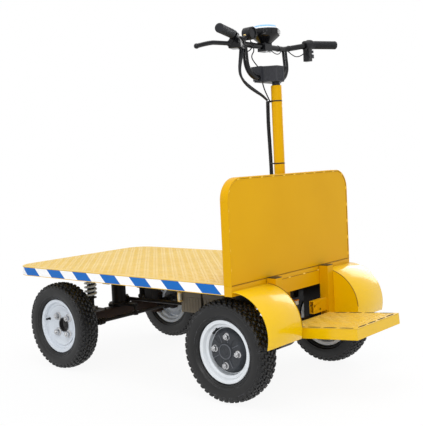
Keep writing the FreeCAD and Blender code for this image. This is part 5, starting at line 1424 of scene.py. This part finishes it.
harnessPoints = linePoints(route("harness"))
conduit = cable("conduit", route("harness"), 0.0070, 8)
hoop = spun("hoop", [(0.0068, -0.0016), (0.0078, -0.0011), (0.0080, 0.0), (0.0078, 0.0011), (0.0068, 0.0016)],
            steps=14)
hoops = repeated("hoops", hoop, [at(*spot, tuple(heading)) for spot, heading in along(harnessPoints, 0.0042, 0.002)])
dress(joined("harness_conduit", conduit, hoops), "chassis", "gloss", stands=("wiring_harness",))
gland = spun("harness_gland", [(0.0075, 0.0030), (0.0098, 0.0026), (0.0125, 0.0012), (0.0135, -0.0004)],
             (columnFront + 0.021, 0.014, deckTop), steps=32)
dress(faceUp(apply(gland, "SOLIDIFY", thickness=0.0008, offset=-1)), "chassis", "rubber")
print("cables run")


# ---- batteries, motor and running gear ----

casesLow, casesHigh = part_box("battery_cases")
battery = dict(gap=0.01, lid=0.042, lip=0.002, rib=0.0035, ribPitch=0.0155, endRibs=19, endPitch=0.025)


def batteryTrim():
    # upright ribs round each case, a bead under the lid, filler caps and bolted terminals
    length = (casesHigh.x - casesLow.x - battery["gap"]) / 2
    half, lip, pitch = battery["rib"] / 2, battery["lip"], battery["ribPitch"]
    top = casesHigh.z - battery["lid"]
    count = int((length - 0.02) / pitch) + 1
    ribs, fittings, posts = [], [], []
    for low in (casesLow.x, casesHigh.x - length):
        high = low + length
        middle = (low + high) / 2
        rib = slab("rib", (-half, -0.0012, casesLow.z + 0.004), (half, 0.0012, top - 0.005), 0.0008, 1)
        places = [at(middle + (k - (count - 1) / 2) * pitch, side * (casesHigh.y - lip), 0) for k in range(count)
                  for side in (-1, 1)]
        places += [at(x, (k - (battery["endRibs"] - 1) / 2) * battery["endPitch"], 0) @ turned(90)
                   for k in range(battery["endRibs"]) for x in (low + lip, high - lip)]
        ribs.append(repeated("ribs", rib, places))
        ribs.append(slab("bead", (low + 0.0006, casesLow.y + 0.0006, top - 0.0055),
                         (high - 0.0006, casesHigh.y - 0.0006, top - 0.0015), 0.001))
        cap = spun("cap", [(0, 0), (0.009, 0), (0.009, 0.002), (0.0075, 0.0032), (0, 0.0032)], steps=20)
        fittings.append(repeated("caps", cap, [at(middle + 0.018, y, casesHigh.z) for y in
                                               (-0.15, -0.09, -0.03, 0.03, 0.09, 0.15)]))
        terminal = boltHead("terminal", 0.006, 0.005)
        posts.append(repeated("terminals", terminal, [at(middle - 0.02, y, casesHigh.z) for y in (-0.21, 0.21)]))
    dress(joined("battery_ribs", *ribs), "chassis", "battery")
    dress(joined("battery_caps", *fittings), "chassis", "plastic")
    dress(joined("battery_terminals", *posts), "chassis", "dullSteel")


plug = dict(depth=0.016, width=0.014, height=0.040, flange=0.006, low=0.332, rearX=-0.412)


def powerPlug():
    # a buff plug with its pale seal at the front edge of the battery case, and a cream one with a collar behind
    x, y, low, rear = casesHigh.x - 0.012, casesHigh.y + 0.001, plug["low"], plug["rearX"]
    deep, wide, top = x + plug["depth"], y + plug["width"], low + plug["height"]
    parts = [slab("plug foot", (x, y, low), (deep, wide, low + plug["flange"]), 0.0016),
             slab("plug head", (x, y, top - plug["flange"]), (deep, wide, top), 0.0016),
             slab("plug ear", (deep - 0.0045, y, low), (deep, wide, top), 0.0016)]
    dress(joined("power_plug", *parts), "chassis", "buff")
    dress(slab("plug_seal", (x + 0.0035, y + 0.001, low + 0.005), (x + 0.0125, y + 0.0128, low + 0.035), 0.0012),
          "chassis", "cream")
    lead = cable("plug_lead", [(x + 0.008, y + 0.007, low + 0.039), (x + 0.008, y + 0.007, low + 0.054),
                               (x + 0.006, y + 0.003, low + 0.064), (x, y - 0.012, low + 0.0715)], 0.0035, 6)
    dress(lead, "chassis", "rubber")
    body = slab("rear_plug", (rear - 0.008, -0.084, 0.290), (rear + 0.008, -0.064, 0.307), 0.0022, 3)
    dress(body, "chassis", "cream")
    collar = slab("rear_plug_collar", (rear - 0.006, -0.090, 0.3035), (rear + 0.0075, -0.0655, 0.3110), 0.0016)
    dress(collar, "chassis", "orange")


motor = dict(fins=15, finPitch=0.0085, finStart=0.026, bolts=4, boltRadius=0.052, boltInset=0.012)


def motorTrim():
    # cooling fins round the shell, end bolts and a terminal box
    low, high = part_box("drive_motor")
    middle = (low + high) / 2
    radius = (high.z - low.z) / 2
    fin = spun("fin", [(radius - 0.0010, -0.0014), (radius + 0.0030, -0.0009), (radius + 0.0030, 0.0009),
                       (radius - 0.0010, 0.0014)], axis="y", steps=48)
    first = high.y - motor["finStart"]
    places = [at(middle.x, first - motor["finPitch"] * k, middle.z) for k in range(motor["fins"])]
    dress(repeated("motor_fins", fin, places), "chassis", "black")
    bolt = boltHead("motor bolt", 0.0055, 0.0045)
    places = [at(middle.x, 0, middle.z) @ turned(45 + 360 / motor["bolts"] * k, "Y") @
              at(motor["boltRadius"], high.y - motor["boltInset"], 0, (0, 1, 0)) for k in range(motor["bolts"])]
    dress(repeated("motor_bolts", bolt, places), "chassis", "dullSteel")
    dress(slab("terminal_box", (middle.x - 0.024, middle.y - 0.03, high.z - 0.004),
               (middle.x + 0.024, middle.y + 0.04, high.z + 0.022), 0.003, 3), "chassis", "plastic")


gear = dict(drumBolts=6, drumRadius=0.058, drumY=0.2930, caseBolts=8, caseRadius=0.049, caseY=0.030, caseHalf=0.045,
            sink=0.0039, armTop=0.1993, sleeveY=0.236, crankY=-0.050, crankTop=0.2532)


def boltRing(count, first, radius, y, way):
    # places round the rear axle's centre line, facing along the cart's width
    centre = wheels["rear_left"].x
    turns = [math.radians(first + 360 / count * k) for k in range(count)]
    return [at(centre + radius * math.cos(turn), y, wheelRadius + radius * math.sin(turn), (0, way, 0))
            for turn in turns]


def gearTrim():
    # nuts on kingpins and links, bolts on the drum plates and the gear case, sleeves on the tie rod's ends
    low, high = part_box("front_axle_beam")
    places = []
    for side in (-1, 1):
        places.append(at(kingpinX, side * kingpinY, high.z - gear["sink"]))
        places.append(at(kingpinX, side * kingpinY, low.z + gear["sink"], (0, 0, -1)))
    dress(repeated("kingpin_nuts", boltHead("nut", 0.0125, 0.009), places), "chassis", "dullSteel")
    places = []
    for side in (-1, 1):
        places += boltRing(gear["drumBolts"], 30, gear["drumRadius"], side * gear["drumY"], -side)
    for side in (-1, 1):
        places += boltRing(gear["caseBolts"], 22.5, gear["caseRadius"], gear["caseY"] + side * gear["caseHalf"], side)
    dress(repeated("axle_bolts", boltHead("bolt", 0.006, 0.005), places), "chassis", "dullSteel")
    small = boltHead("link nut", 0.0085, 0.007)
    for corner, side in (("left", 1), ("right", -1)):
        dress(repeated("arm_nut_" + corner, small, [at(armX, side * kingpinY, gear["armTop"])], keep=True),
              "knuckle_" + corner, "dullSteel")
    sleeve = spun("rod sleeve", [(0.0078, 0), (0.0120, 0), (0.0140, 0.0015), (0.0140, 0.0085), (0.0115, 0.0100),
                                 (0.0115, 0.0140), (0.0160, 0.0155), (0.0160, 0.0225), (0.0120, 0.0240),
                                 (0.0120, 0.0300), (0.0150, 0.0315), (0.0150, 0.0385), (0.0110, 0.0400),
                                 (0.0078, 0.0400)], steps=24)
    rodZ = middleOf("tie_rod").z
    places = [at(armX, side * gear["sleeveY"], rodZ, (0, -side, 0)) for side in (-1, 1)]
    dress(repeated("rod_sleeves", sleeve, places), "tie_rod", "black")
    dress(repeated("crank_nut", small, [at(kingpinX, gear["crankY"], gear["crankTop"])]), "bellcrank", "dullSteel")


batteryTrim()
powerPlug()
motorTrim()
gearTrim()
print("running gear detailed")
